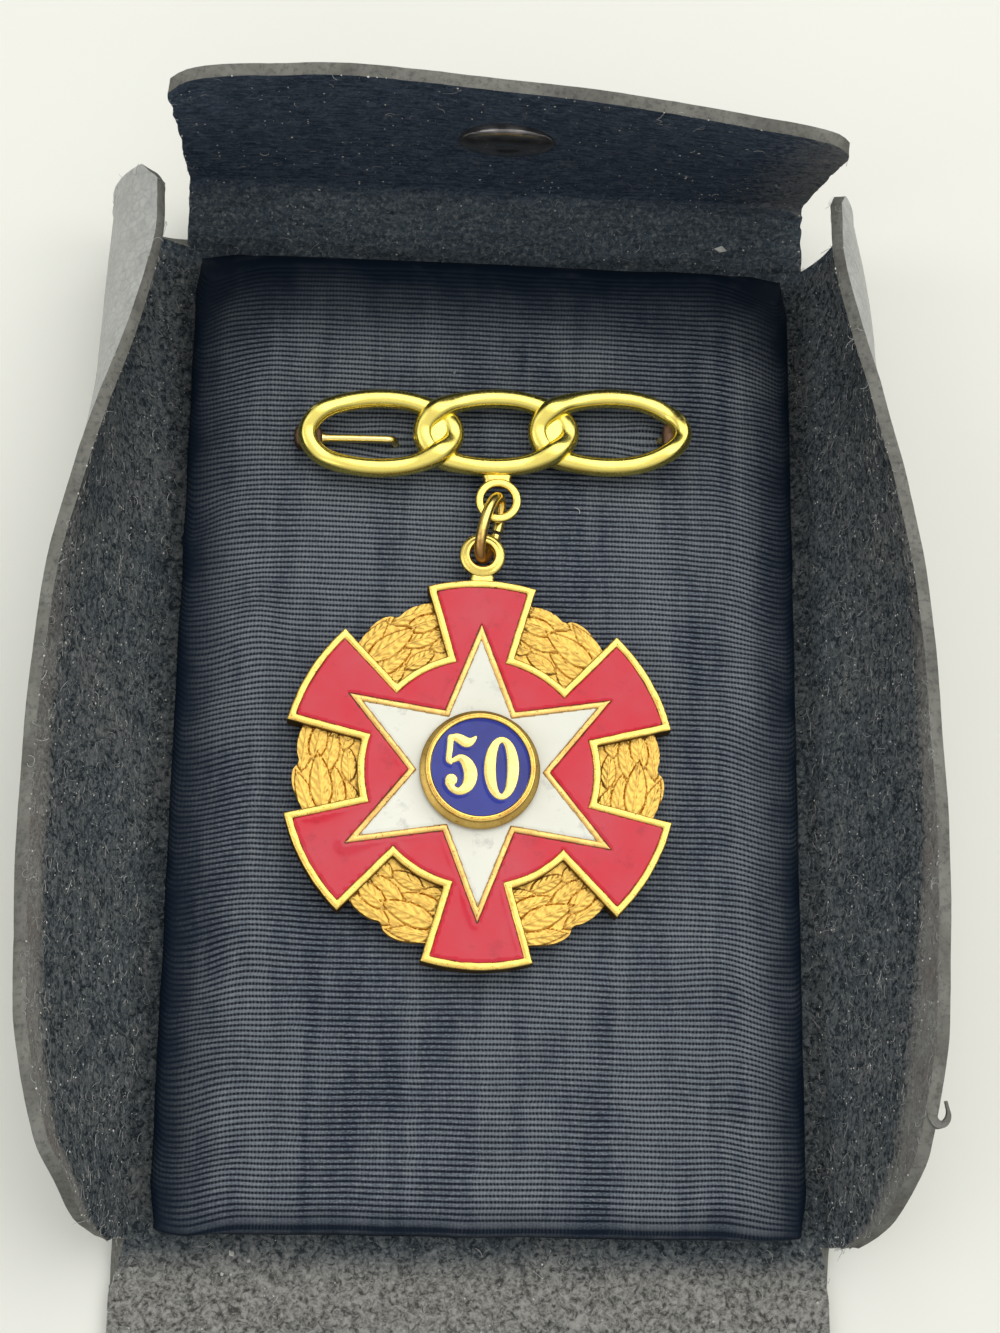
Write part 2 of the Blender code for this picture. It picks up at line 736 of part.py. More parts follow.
def leaf(gap, mirrored, row):
    """A pointed oval leaf with a raised midrib, rooted in the wreath's ground."""
    stem, stem_radius, tip, tip_radius, width, height = row
    side = -1 if mirrored else 1
    start = Vector(bearing(gap - side * stem, stem_radius * PENDANT_RADIUS))
    end = Vector(bearing(gap - side * tip, tip_radius * PENDANT_RADIUS))
    run = end - start
    across = Vector((-run.y, run.x)).normalized() * width * PENDANT_RADIUS / 2
    edge = [start, end]
    for k in range(1, LEAF_POINTS + 1):
        share = k / (LEAF_POINTS + 1)
        swell = math.sin(math.pi * share**LEAF_SKEW) ** LEAF_FULLNESS
        edge += [start + run * share + across * swell, start + run * share - across * swell]
    shape = bmesh.new()
    for point in edge:
        shape.verts.new((*point, WREATH_TOP - LEAF_ROOT))
        shape.verts.new((*point, WREATH_TOP + LEAF_EDGE * height))
    for share, crest in MIDRIB:
        shape.verts.new((*(start + run * share), WREATH_TOP + LEAF_RISE * height * crest))
    bmesh.ops.convex_hull(shape, input=shape.verts)
    bmesh.ops.delete(shape, geom=[vert for vert in shape.verts if not vert.link_faces], context="VERTS")
    return from_bmesh("leaf", shape, pendant_place())


def pendant_body():
    """The metal of the pendant: wreath, cross with its rims, star frame and bail."""
    place = pendant_place()
    back = PENDANT_BACK + SEAT_GAP
    body = prism(wreath_outline(), back, WREATH_TOP, place)
    for gap in range(ARMS):
        middle = (gap + 0.5) * 360 / ARMS
        for row in LEAVES:
            body = combine(body, leaf(middle, middle > 180, row), "UNION")
    cross = prism(cross_outline(0.0), PENDANT_BACK, PENDANT_FRONT, place)
    cell = prism(cross_outline(RIM), ENAMEL_FLOOR, PENDANT_FRONT + LEATHER, place)
    cross = combine(cross, cell, "DIFFERENCE")
    frame = prism(star_outline(0.0), back, PENDANT_FRONT - ENAMEL_SINK / 2, place)
    cell = prism(star_outline(STAR_RIM), ENAMEL_FLOOR, PENDANT_FRONT + LEATHER, place)
    frame = combine(frame, cell, "DIFFERENCE")
    body = combine(body, cross, "UNION")
    body = combine(body, frame, "UNION")
    eye = Matrix.Translation(bail_centre())
    body = combine(body, torus(BAIL_RADIUS, BAIL_WIRE, ROUND_STEPS // 2, 8, eye), "UNION")
    foot = PENDANT_Y + PENDANT_RADIUS - RIM / 2
    head = bail_centre().y - BAIL_RADIUS
    neck = [(-BAIL_FOOT, foot), (BAIL_FOOT, foot), (BAIL_HEAD, head), (-BAIL_HEAD, head)]
    low, high = EYE_LEVEL - BAIL_NECK_DROP, EYE_LEVEL + BAIL_NECK_RISE
    body = combine(body, prism([(PENDANT_X + x, y) for x, y in neck], low, high), "UNION")
    return finish(body, "pendant_body", "gilt")


def enamels():
    place = pendant_place()
    low, high = ENAMEL_FLOOR + CELL_GAP, PENDANT_FRONT - ENAMEL_SINK
    red = prism(cross_outline(RIM + CELL_GAP), low, high, place)
    red = combine(red, prism(star_outline(-CELL_GAP), low - LEATHER, high + LEATHER, place), "DIFFERENCE")
    finish(red, "enamel_red", "red_enamel")
    white = prism(star_outline(STAR_RIM + CELL_GAP), low, high, place)
    hole = prism(circle(RIVET_RADIUS + CELL_GAP, SMALL_STEPS), low - LEATHER, high + LEATHER, place)
    finish(combine(white, hole, "DIFFERENCE"), "enamel_white", "white_enamel")


def ribbon(rows, extra):
    """A stroke's outline: a row's half width to each side of a smooth line through the rows."""
    count = len(rows) - 1
    table = [(k / count, *row) for k, row in enumerate(rows)]
    samples = [read_row(table, min(k / (2 * count), 1.0)) for k in range(2 * count + 1)]
    left, right = [], []
    for k, (across, up, half) in enumerate(samples):
        before, after = samples[max(k - 1, 0)], samples[min(k + 1, 2 * count)]
        run = Vector((after[0] - before[0], after[1] - before[1])).normalized()
        reach = half * DIGIT_HEIGHT + extra
        push = run * extra * ((k == 2 * count) - (k == 0))
        at = Vector((across, up)) * DIGIT_HEIGHT + push
        left.append(at + Vector((-run.y, run.x)) * reach)
        right.append(at - Vector((-run.y, run.x)) * reach)
    return [tuple(point) for point in left + right[::-1]]


def nought(shape, extra, low, high, place):
    across, up, half_width, half_height = (value * DIGIT_HEIGHT for value in shape)
    radius = half_width + extra
    stretch = (half_height + extra) / radius
    return prism(circle(radius, SMALL_STEPS, across, up, stretch), low, high, place)


def digits(extra, low, high):
    """The two digits, thickened by extra, as a list of solids."""
    place = pendant_place()
    across, up, radius = (value * DIGIT_HEIGHT for value in FIVE_BALL)
    five = prism(ribbon(FIVE_STEM, extra), low, high, place)
    for rows in (FIVE_FLAG, FIVE_BOWL):
        five = combine(five, prism(ribbon(rows, extra), low, high, place), "UNION")
    ball = prism(circle(radius + extra, SMALL_STEPS - 4, across, up), low, high, place)
    five = combine(five, ball, "UNION")
    return five, nought(NOUGHT, extra, low, high, place)


def medallion():
    """The raised centre: a waisted cup with a rim, riveted through the star, with its two digits."""
    base = PENDANT_FRONT + CELL_GAP
    top = base + MEDALLION_HEIGHT
    floor = top - MEDALLION_FLOOR
    field = MEDALLION_TOP_RADIUS - MEDALLION_RIM
    waist = MEDALLION_TOP_RADIUS * MEDALLION_WAIST
    profile = [
        (0, floor),
        (field, floor),
        (field, top),
        (MEDALLION_TOP_RADIUS, top),
        (waist, base + MEDALLION_HEIGHT * WAIST_HEIGHT),
        (MEDALLION_RADIUS, base + MEDALLION_HEIGHT * SHOULDER_HEIGHT),
        (MEDALLION_RADIUS, base),
        (RIVET_RADIUS, base),
        (RIVET_RADIUS, ENAMEL_FLOOR + CELL_GAP),
        (0, ENAMEL_FLOOR + CELL_GAP),
    ]
    place = pendant_place()
    cup = turned(profile, ROUND_STEPS, place)
    root = floor - CELL_GAP
    face = top - ENAMEL_SINK
    five, ring = digits(0.0, root, face)
    ring = combine(ring, nought(NOUGHT_COUNTER, 0.0, root - LEATHER, top + LEATHER, place), "DIFFERENCE")
    cup = combine(combine(cup, five, "UNION"), ring, "UNION")
    finish(cup, "medallion", "gilt")

    low, high = floor + CELL_GAP, face - ENAMEL_SINK
    blue = prism(circle(field - CELL_GAP, ROUND_STEPS), low, high, place)
    for cutter in digits(CELL_GAP, low - LEATHER, top + LEATHER):
        blue = combine(blue, cutter, "DIFFERENCE")
    finish(blue, "enamel_blue", "blue_enamel")
    finish(nought(NOUGHT_COUNTER, -CELL_GAP, low, high, place), "enamel_blue_counter", "blue_enamel")


def link_route(number):
    """A link's centre line. It rises over its neighbour at one crossing and dips under it at the other."""
    long, wide = LINK_LENGTH / 2 - LINK_WIRE, LINK_WIDTH / 2 - LINK_WIRE
    middle = (number - (LINK_COUNT - 1) / 2) * LINK_PITCH
    cross = math.acos(LINK_PITCH / (2 * long))
    points = []
    for k in range(LINK_POINTS):
        turn = 2 * math.pi * (k + 0.5) / LINK_POINTS
        rise = 0.0
        for at, over in ((cross, -1), (-cross, 1), (math.pi - cross, 1), (math.pi + cross, -1)):
            away = math.remainder(turn - at, 2 * math.pi)
            rise += over * math.exp(-((away / (cross * CROSS_SPREAD)) ** 2))
        points.append((middle + long * math.cos(turn), wide * math.sin(turn), LINK_CROSS * rise))
    return points


def stem_route():
    """The pin's line in the bar's frame, from the joint, down under the cloth, and up to the catch."""
    level = PAD_TOP + STEM_LIFT - BAR_LEVEL
    shares = [row[0] for row in STEM_ROWS]
    shares += [(low + high) / 2 for low, high in zip(shares, shares[1:])]
    points = []
    for share in sorted(shares):
        dip = read_row(STEM_ROWS, share)[0]
        points.append(((STEM_START + STEM_END) * share - STEM_START, 0.0, level - STEM_DIP * dip))
    return points


def link_bar():
    """Three interlocked links soldered into a bar, with the lower eye, the joint and the catch."""
    place = bar_place()
    bar = wire(link_route(0), LINK_WIRE, 2, True, place)
    for number in range(1, LINK_COUNT):
        bar = combine(bar, wire(link_route(number), LINK_WIRE, 2, True, place), "UNION")
    eye = Matrix.Translation(eye_centre())
    bar = combine(bar, torus(EYE_RADIUS, EYE_WIRE, ROUND_STEPS // 2, 8, eye), "UNION")
    high = -LINK_WIDTH / 2 + LINK_WIRE
    low = -EYE_DROP + EYE_RADIUS - EYE_WIRE / 4
    neck = [(-EYE_NECK_HEAD, high), (-EYE_NECK_FOOT, low), (EYE_NECK_FOOT, low), (EYE_NECK_HEAD, high)]
    bar = combine(bar, prism(neck, -EYE_NECK_HALF, EYE_NECK_HALF, place), "UNION")
    bottom = PAD_TOP + FITTING_BACK - BAR_LEVEL
    head = -FITTING_HEAD
    level = PAD_TOP + STEM_LIFT - BAR_LEVEL
    slot = STEM_RADIUS + STEM_GAP
    middle, tall = (bottom + head) / 2, head - bottom
    joint = block((*JOINT_SIZE, tall), (-JOINT_AT, 0, middle), place)
    reach = JOINT_SIZE[0]
    groove = block((reach, 2 * slot, 2 * slot), (reach / 2 - STEM_START - STEM_GAP, 0, level), place)
    bar = combine(bar, combine(joint, groove, "DIFFERENCE"), "UNION")
    catch = block((*CATCH_SIZE, tall), (CATCH_AT, 0, middle), place)
    reach, mouth = CATCH_SIZE
    groove = (STEM_END + STEM_GAP - reach / 2, slot - mouth / 2, level)
    groove = block((reach, mouth, 2 * slot), groove, place)
    bar = combine(bar, combine(catch, groove, "DIFFERENCE"), "UNION")
    return finish(bar, "link_bar", "gilt")


def jump_ring():
    """The open ring, turned on edge, through the bar's eye and the pendant's bail."""
    along = ring_direction()
    tilt = math.radians(RING_TILT)
    side = Vector((along.y, -along.x, 0)) * math.cos(tilt) - Vector((0, 0, 1)) * math.sin(tilt)
    middle = (bail_centre() + eye_centre()) / 2
    cut = RING_CUT / RING_LONG
    points = []
    for k in range(RING_POINTS + 1):
        turn = cut + (2 * math.pi - 2 * cut) * k / RING_POINTS
        points.append(middle + along * RING_LONG * math.sin(turn) + side * RING_WIDE * math.cos(turn))
    return finish(wire(points, RING_WIRE, 2, False), "jump_ring", "gilt")


clear_scene()
PART = collection("lapel_pin")
WORK = collection("work")
WORK.hide_render = True
case_shell()
press_stud()
pad(stem_route())
pendant_body()
enamels()
medallion()
link_bar()
finish(wire(stem_route(), STEM_RADIUS, 1, False, bar_place()), "pin_stem", "gilt")
jump_ring()
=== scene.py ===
"""Looks for the enamelled lapel pin in its open leather case.

Metres, in the part's frame: +Z up, the origin under the middle of the case, +Y towards the snap flap.
"""

import math
import random

import bmesh
import bpy
import numpy as np
from mathutils import Matrix, Vector, noise
from mathutils.geometry import delaunay_2d_cdt


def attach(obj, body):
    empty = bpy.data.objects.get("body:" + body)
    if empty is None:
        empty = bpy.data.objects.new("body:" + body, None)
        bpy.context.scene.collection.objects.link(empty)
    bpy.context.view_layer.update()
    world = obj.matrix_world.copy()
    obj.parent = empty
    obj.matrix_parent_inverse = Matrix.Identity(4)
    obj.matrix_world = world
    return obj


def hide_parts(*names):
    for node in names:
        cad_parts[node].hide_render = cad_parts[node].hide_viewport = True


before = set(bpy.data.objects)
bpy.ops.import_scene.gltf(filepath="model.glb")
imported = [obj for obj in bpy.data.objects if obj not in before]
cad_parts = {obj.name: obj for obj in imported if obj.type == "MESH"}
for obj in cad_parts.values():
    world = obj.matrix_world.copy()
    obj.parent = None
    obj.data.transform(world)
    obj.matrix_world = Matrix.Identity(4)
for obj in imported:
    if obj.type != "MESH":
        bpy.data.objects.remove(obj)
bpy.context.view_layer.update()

# Case leather, as in the part
LEATHER = 0.0012
FOLD_RADIUS = 0.0025
SIDE_FLAP = 0.0240
SNAP_FLAP = 0.0360
SNAP_FLAP_FLARE = 0.03
SNAP_BAND = 55.0
SNAP_CREASE = 0.0100
CREASE_RADIUS = 0.0040
SOCKET_ALONG = 0.0236
SOCKET_SHARE = 0.50
SNAP_LEAN = 8.0
SNAP_SINK = 0.00035
CLOSED_HEIGHT = 0.0100
STUD_MARGIN = 0.0090
COVER_ROUND = 0.0060
CORNER_FLATTEN = 0.0050
EAR_HEIGHT = 0.0100
EAR_LEAST = 0.25
EAR_TRIM = 0.03

# Pad
PAD_WIDTH = 0.0608
PAD_LENGTH = 0.0973
PAD_WALL = 0.0044
PAD_CROWN = 0.0005
PAD_ROUND = 0.0012
PAD_SIDE_GAP = 0.0005

# Press stud
SNAP_RADIUS = 0.0047
SNAP_HEIGHT = 0.0012
STUD_RADIUS = 0.0030
STUD_HEIGHT = 0.0019
CAP_RADIUS = 0.0055
CAP_HEIGHT = 0.0009

# Pendant
PENDANT_X = -0.0010
PENDANT_Y = -0.0057
PENDANT_RADIUS = 0.0190
PENDANT_THICKNESS = 0.00225
ARM_HALF_ANGLE = 16.2
NOTCH_RADIUS = 0.01165
RIM = 0.00075
STAR_TIP = 0.01463
STAR_WAIST = 0.00678
STAR_RIM = 0.00060
ENAMEL_DEPTH = 0.0008
ENAMEL_SINK = 0.00008
ARMS = 6

# Wreath
WREATH_RADIUS = 0.0170
WREATH_DROP = 0.0011
LEAF_RISE = 0.0006
GROUND_LEVEL = 0.00020
GROOVE_LEVEL = 0.00011
ENAMEL_GROOVE = 0.00014

# Medallion
MEDALLION_RADIUS = 0.00575
MEDALLION_TOP_RADIUS = 0.00522
MEDALLION_RIM = 0.00050
MEDALLION_HEIGHT = 0.00165
MEDALLION_FLOOR = 0.0005
RIVET_RADIUS = 0.0020
DIGIT_HEIGHT = 0.0062

# Bail, jump ring and bar
BAIL_RISE = 0.00263
BAIL_RADIUS = 0.00170
BAIL_WIRE = 0.00055
RING_LONG = 0.00325
RING_WIDE = 0.00150
RING_WIRE = 0.00055
RING_PLAY = 0.00030
RING_TURN = 14.5
RING_TILT = 62.0
RING_CUT = 0.00020
EYE_RADIUS = 0.00185
EYE_WIRE = 0.00042
EYE_DROP = 0.00717
LINK_LENGTH = 0.0164
LINK_WIDTH = 0.0092
LINK_WIRE = 0.00095
LINK_PITCH = 0.01143
LINK_COUNT = 3
LINK_CROSS = 0.00050
BAR_TURN = 2.4
BAR_LIFT = 0.0020
EYE_LIFT = 0.0022

# Pin stem, joint and catch
STEM_RADIUS = 0.00042
STEM_DIP = 0.0024
STEM_LIFT = 0.00075
STEM_START = 0.0178
STEM_END = 0.0176
JOINT_AT = 0.0186
JOINT_SIZE = (0.0028, 0.0024)
CATCH_AT = 0.0176
CATCH_SIZE = (0.0016, 0.0024)
FITTING_BACK = 0.00035

SEAT_GAP = 0.0003
CELL_GAP = 0.0001

# Levels
BASE_MIDDLE = LEATHER / 2
PAD_BOTTOM = LEATHER + SEAT_GAP
PAD_EDGE_TOP = PAD_BOTTOM + PAD_WALL
PAD_TOP = PAD_EDGE_TOP + PAD_CROWN
PENDANT_BACK = PAD_TOP + SEAT_GAP + FITTING_BACK / 4
PENDANT_FRONT = PENDANT_BACK + PENDANT_THICKNESS
ENAMEL_FLOOR = PENDANT_FRONT - ENAMEL_DEPTH
WREATH_TOP = PENDANT_FRONT - WREATH_DROP
BAR_LEVEL = PAD_TOP + BAR_LIFT
EYE_LEVEL = PAD_TOP + EYE_LIFT

BASE_HALF_WIDTH = PAD_WIDTH / 2 + PAD_SIDE_GAP
BASE_HALF_LENGTH = PAD_LENGTH / 2 + PAD_SIDE_GAP
COVER_FLAP = 2 * BASE_HALF_LENGTH + 2 * CLOSED_HEIGHT - SOCKET_ALONG + STUD_MARGIN

# Flap rows along the fold. Columns: share of the fold, reach as a share of the flap's width, mean slope of
# the wall in degrees, and how much the wall curls over its width
LEFT_FLAP = (
    (0.000, 0.30, 78.0, 14),
    (0.014, 0.54, 78.0, 14),
    (0.040, 0.76, 78.0, 14),
    (0.080, 0.92, 73.5, 12),
    (0.180, 1.00, 68.0, 10),
    (0.300, 1.00, 66.0, 10),
    (0.440, 1.00, 66.0, 10),
    (0.580, 1.00, 69.0, 14),
    (0.700, 1.00, 75.0, 42),
    (0.785, 1.00, 79.0, 80),
    (0.865, 1.00, 83.0, 108),
    (0.945, 1.00, 86.5, 124),
    (1.000, 0.98, 88.0, 122),
)
RIGHT_FLAP = (
    (0.000, 0.30, 80.0, 12),
    (0.014, 0.54, 80.0, 12),
    (0.040, 0.76, 80.0, 12),
    (0.080, 0.92, 77.5, 12),
    (0.180, 1.00, 73.0, 10),
    (0.300, 1.00, 71.0, 10),
    (0.440, 1.00, 71.0, 10),
    (0.580, 1.00, 73.5, 16),
    (0.700, 1.00, 79.0, 22),
    (0.785, 1.00, 84.0, 36),
    (0.865, 1.00, 88.0, 72),
    (0.945, 0.98, 92.5, 84),
    (1.000, 0.93, 95.5, 64),
)
TOP_FLAP = (
    (0.00, 0.92, 97.0, 4),
    (0.02, 0.965, 96.5, 4),
    (0.06, 0.995, 96.0, 4),
    (0.14, 1.00, 95.0, 4),
    (0.27, 1.00, 94.2, 4),
    (0.50, 1.00, 96.2, 4),
    (0.75, 1.00, 99.6, 4),
    (0.90, 1.00, 102.4, 4),
    (0.95, 0.985, 103.2, 4),
    (0.98, 0.95, 103.6, 4),
    (1.00, 0.89, 104.0, 4),
)
BEND_STEPS = 3
SIDE_STEPS = 5
SNAP_STEPS = 9
LEFT_EAR = 3
CREASE_STEP = 5.0
RIGHT_EAR = 2
SNAP_EAR = 2
COVER_EARS = (3, 2)

# The wreath's edge in one gap. Columns: bearing from the gap's middle towards the pendant's top in degrees,
# and how far the edge stands out as a share of the wreath's radius
WREATH_EDGE = (
    (-16.0, 0.000),
    (-12.0, 0.016),
    (-8.0, 0.037),
    (-4.0, 0.048),
    (-0.5, 0.040),
    (2.0, 0.010),
    (5.0, 0.024),
    (9.0, 0.031),
    (13.0, 0.026),
    (16.0, 0.010),
)

# Wreath leaves of one gap, lowest layer first. Columns: bearing and radius of the stem, bearing and radius
# of the tip, width, and height. Bearings are degrees from the gap's middle towards the pendant's top,
# radii and width are shares of the pendant's radius, and height is a share of the leaf's rise
LEAVES = (
    (-19.0, 0.640, -4.0, 0.690, 0.080, 0.45),
    (-6.0, 0.650, 10.0, 0.672, 0.080, 0.45),
    (8.0, 0.690, 20.0, 0.690, 0.080, 0.40),
    (-20.0, 0.860, -1.0, 0.918, 0.090, 0.70),
    (-1.0, 0.890, 17.0, 0.902, 0.090, 0.70),
    (-18.0, 0.735, 1.0, 0.726, 0.090, 0.65),
    (-1.5, 0.765, 16.0, 0.752, 0.086, 0.60),
    (2.5, 0.830, 18.5, 0.828, 0.090, 0.80),
    (-16.0, 0.806, 5.5, 0.815, 0.112, 1.00),
)
LEAF_SKEW = 0.85
LEAF_FULLNESS = 0.8
LEAF_GROOVE = 0.00005

# How deep the stem runs under the cloth. Columns: share of the stem's length, and share of its dip
STEM_ROWS = (
    (0.000, 0.00),
    (0.213, 0.00),
    (0.217, 0.08),
    (0.222, 0.45),
    (0.230, 0.90),
    (0.245, 1.00),
    (0.955, 1.00),
    (0.970, 0.75),
    (0.985, 0.20),
    (1.000, 0.00),
)
STEM_SWAY = 0.00020

# Digit strokes. Columns: across and up from the medallion's centre, and half the stroke's width, all as
# shares of the digits' height. The ball has those columns, and a nought has its half width and half height
FIVE_FLAG = (
    (-0.480, 0.425, 0.045),
    (-0.410, 0.455, 0.062),
    (-0.330, 0.435, 0.080),
    (-0.225, 0.380, 0.088),
    (-0.145, 0.400, 0.062),
    (-0.085, 0.460, 0.032),
)
FIVE_STEM = (
    (-0.465, 0.450, 0.055),
    (-0.475, 0.270, 0.056),
    (-0.490, 0.105, 0.050),
    (-0.455, 0.045, 0.028),
)
FIVE_BOWL = (
    (-0.440, 0.080, 0.040),
    (-0.310, 0.135, 0.062),
    (-0.200, 0.040, 0.098),
    (-0.150, -0.120, 0.112),
    (-0.190, -0.290, 0.098),
    (-0.310, -0.385, 0.066),
    (-0.420, -0.350, 0.060),
    (-0.475, -0.260, 0.070),
)
FIVE_BALL = (-0.445, -0.210, 0.100)
NOUGHT = (0.320, -0.010, 0.275, 0.500)
NOUGHT_COUNTER = (0.320, -0.010, 0.080, 0.385)

# Fineness of the looks
BEND_CUT = 6
WALL_CELL = 0.00045
BASE_CELL = 0.0008
BASE_BAND = 4
RIB_PITCH = 0.00053
RIB_CUT = 5
RIB_RISE = 0.00011
WARP_PITCH = 0.00033
WARP_SWAY = 16.0
EDGE_WAVE = 0.0002
EDGE_WAVE_LENGTH = 0.009
FITTING_CELL = 0.0002
SOLDER_CELL = 0.00016
BLUE_CELL = 0.00014
SOLDER_SIZE = (0.0014, 0.0018)
CROOK_SWELL = 0.20
PAD_COLUMN = 0.00075
PAD_CORNER = 0.0005
WREATH_CELL = 0.000085
ENAMEL_CELL = 0.00025
RIM_CELL = 0.00022
DIGIT_CELL = 0.000065
FIBRES = 2300
BIG_SPECKS = (
    ((0.0235, 0.0508, 0.0048), 0.00050),
    ((-0.0225, -0.0505, 0.0016), 0.00042),
    ((-0.0215, -0.0512, 0.0016), 0.00026),
    ((-0.0240, -0.0520, 0.0016), 0.00020),
)
CURL_Y = -0.0385
CURL_RADIUS = 0.0008
CURL_HALF = 0.0008
CURL_THICK = 0.00044
SPECKS = 1600

# Turned profiles. Columns: out as a share of the radius, and up as a share of the height
SOCKET_PROFILE = (
    (0.00, 0.72), (0.16, 0.73), (0.22, 0.77), (0.27, 0.83), (0.33, 0.86), (0.45, 0.85), (0.60, 0.82),
    (0.72, 0.77), (0.82, 0.70), (0.90, 0.62), (0.96, 0.51), (0.99, 0.38), (1.00, 0.20), (0.96, -0.50),
    (0.00, -0.50),
)
CAP_PROFILE = (
    (0.00, 1.00), (0.30, 0.97), (0.60, 0.85), (0.80, 0.66), (0.92, 0.45), (0.98, 0.22), (1.00, 0.00),
    (0.00, 0.00),
)
POST_PROFILE = (
    (0.00, 1.00), (0.40, 1.00), (0.55, 0.97), (0.68, 0.88), (0.70, 0.78), (0.62, 0.62),
    (0.55, 0.50), (0.60, 0.36), (1.40, 0.22), (1.50, 0.08), (1.50, 0.00), (0.00, 0.00),
)

# The medallion's rim, as shares of its width: out from the field, and down from the top
CUP_RIM = (
    (0.00, 0.24), (0.08, 0.06), (0.20, 0.00), (0.38, 0.00), (0.48, 0.24),
    (0.58, 0.24), (0.70, 0.08), (0.94, 0.16), (1.00, 0.44),
)

# Enamels: how far they lap over the rims, how they dish, and their groove
RED_LAP = 0.00008
WHITE_LAP = 0.00006
STAR_LAP = 0.00004
RED_DIP = 0.00006
WHITE_DIP = 0.00007
ENAMEL_SHOULDER = 0.0007
ENAMEL_WAVE = 0.000018
GROOVE_WIDTH = 0.00006

# Stage: lights have place, size, power and colour
KEY_LIGHT = ((0.30, 0.40, 0.85), (1.30, 0.90), 5.2, (1.0, 0.99, 0.965))
FILL_LIGHT = ((-0.75, -0.10, 0.60), (0.70, 0.70), 1.3, (0.95, 0.97, 1.0))
SKY_STRENGTH = 0.90
CAMERA_PLACE = (-0.0141, -0.0536, 0.2223)
CAMERA_TURN = (15.184, -4.192, 0.703)
CAMERA_LENS = 62.115


# Node materials

class Shader:
    """A material under construction: nodes by type, inputs by name, values or sockets alike."""

    def __init__(self, name):
        self.material = bpy.data.materials.new(name)
        self.material.use_nodes = True
        self.tree = self.material.node_tree
        self.surface = self.tree.nodes["Principled BSDF"]
        self.place = self.node("ShaderNodeTexCoord").outputs["Object"]

    def node(self, kind, inputs=None, **settings):
        made = self.tree.nodes.new(kind)
        for key, value in settings.items():
            setattr(made, key, value)
        for key, value in (inputs or {}).items():
            self.set(made.inputs[key], value)
        return made

    def set(self, socket, value):
        if isinstance(value, bpy.types.NodeSocket):
            self.tree.links.new(value, socket)
        elif socket.type == "RGBA":
            socket.default_value = (*value, 1.0)
        else:
            socket.default_value = value

    def finish(self, **values):
        for key, value in values.items():
            self.set(self.surface.inputs[key.replace("_", " ")], value)
        return self.material

    def stretch(self, scale):
        return self.node("ShaderNodeMapping", {"Vector": self.place, "Scale": scale}).outputs[0]

    def noise(self, scale, detail=4.0, rough=0.55, place=None, distortion=0.0):
        inputs = {"Vector": place or self.place, "Scale": scale, "Detail": detail, "Roughness": rough}
        return self.node("ShaderNodeTexNoise", {**inputs, "Distortion": distortion}).outputs["Fac"]

    def cells(self, scale, feature):
        inputs = {"Vector": self.place, "Scale": scale}
        return self.node("ShaderNodeTexVoronoi", inputs, feature=feature).outputs["Distance"]

    def range(self, value, low, high, start=0.0, end=1.0):
        inputs = {"Value": value, "From Min": low, "From Max": high, "To Min": start, "To Max": end}
        return self.node("ShaderNodeMapRange", inputs, clamp=True).outputs["Result"]

    def sum(self, first, second):
        return self.node("ShaderNodeMath", {0: first, 1: second}).outputs[0]

    def times(self, first, second):
        return self.node("ShaderNodeMath", {0: first, 1: second}, operation="MULTIPLY").outputs[0]

    def blend(self, factor, first, second):
        made = self.node("ShaderNodeMix", data_type="RGBA")
        self.set(made.inputs["Factor"], factor)
        self.set(made.inputs[6], first)
        self.set(made.inputs[7], second)
        return made.outputs[2]

    def attribute(self, name):
        return self.node("ShaderNodeAttribute", attribute_name=name).outputs["Fac"]

    def along(self, axis):
        return self.node("ShaderNodeSeparateXYZ", {"Vector": self.place}).outputs[axis]

    def bump(self, height, distance, strength):
        inputs = {"Height": height, "Distance": distance, "Strength": strength}
        return self.node("ShaderNodeBump", inputs).outputs["Normal"]


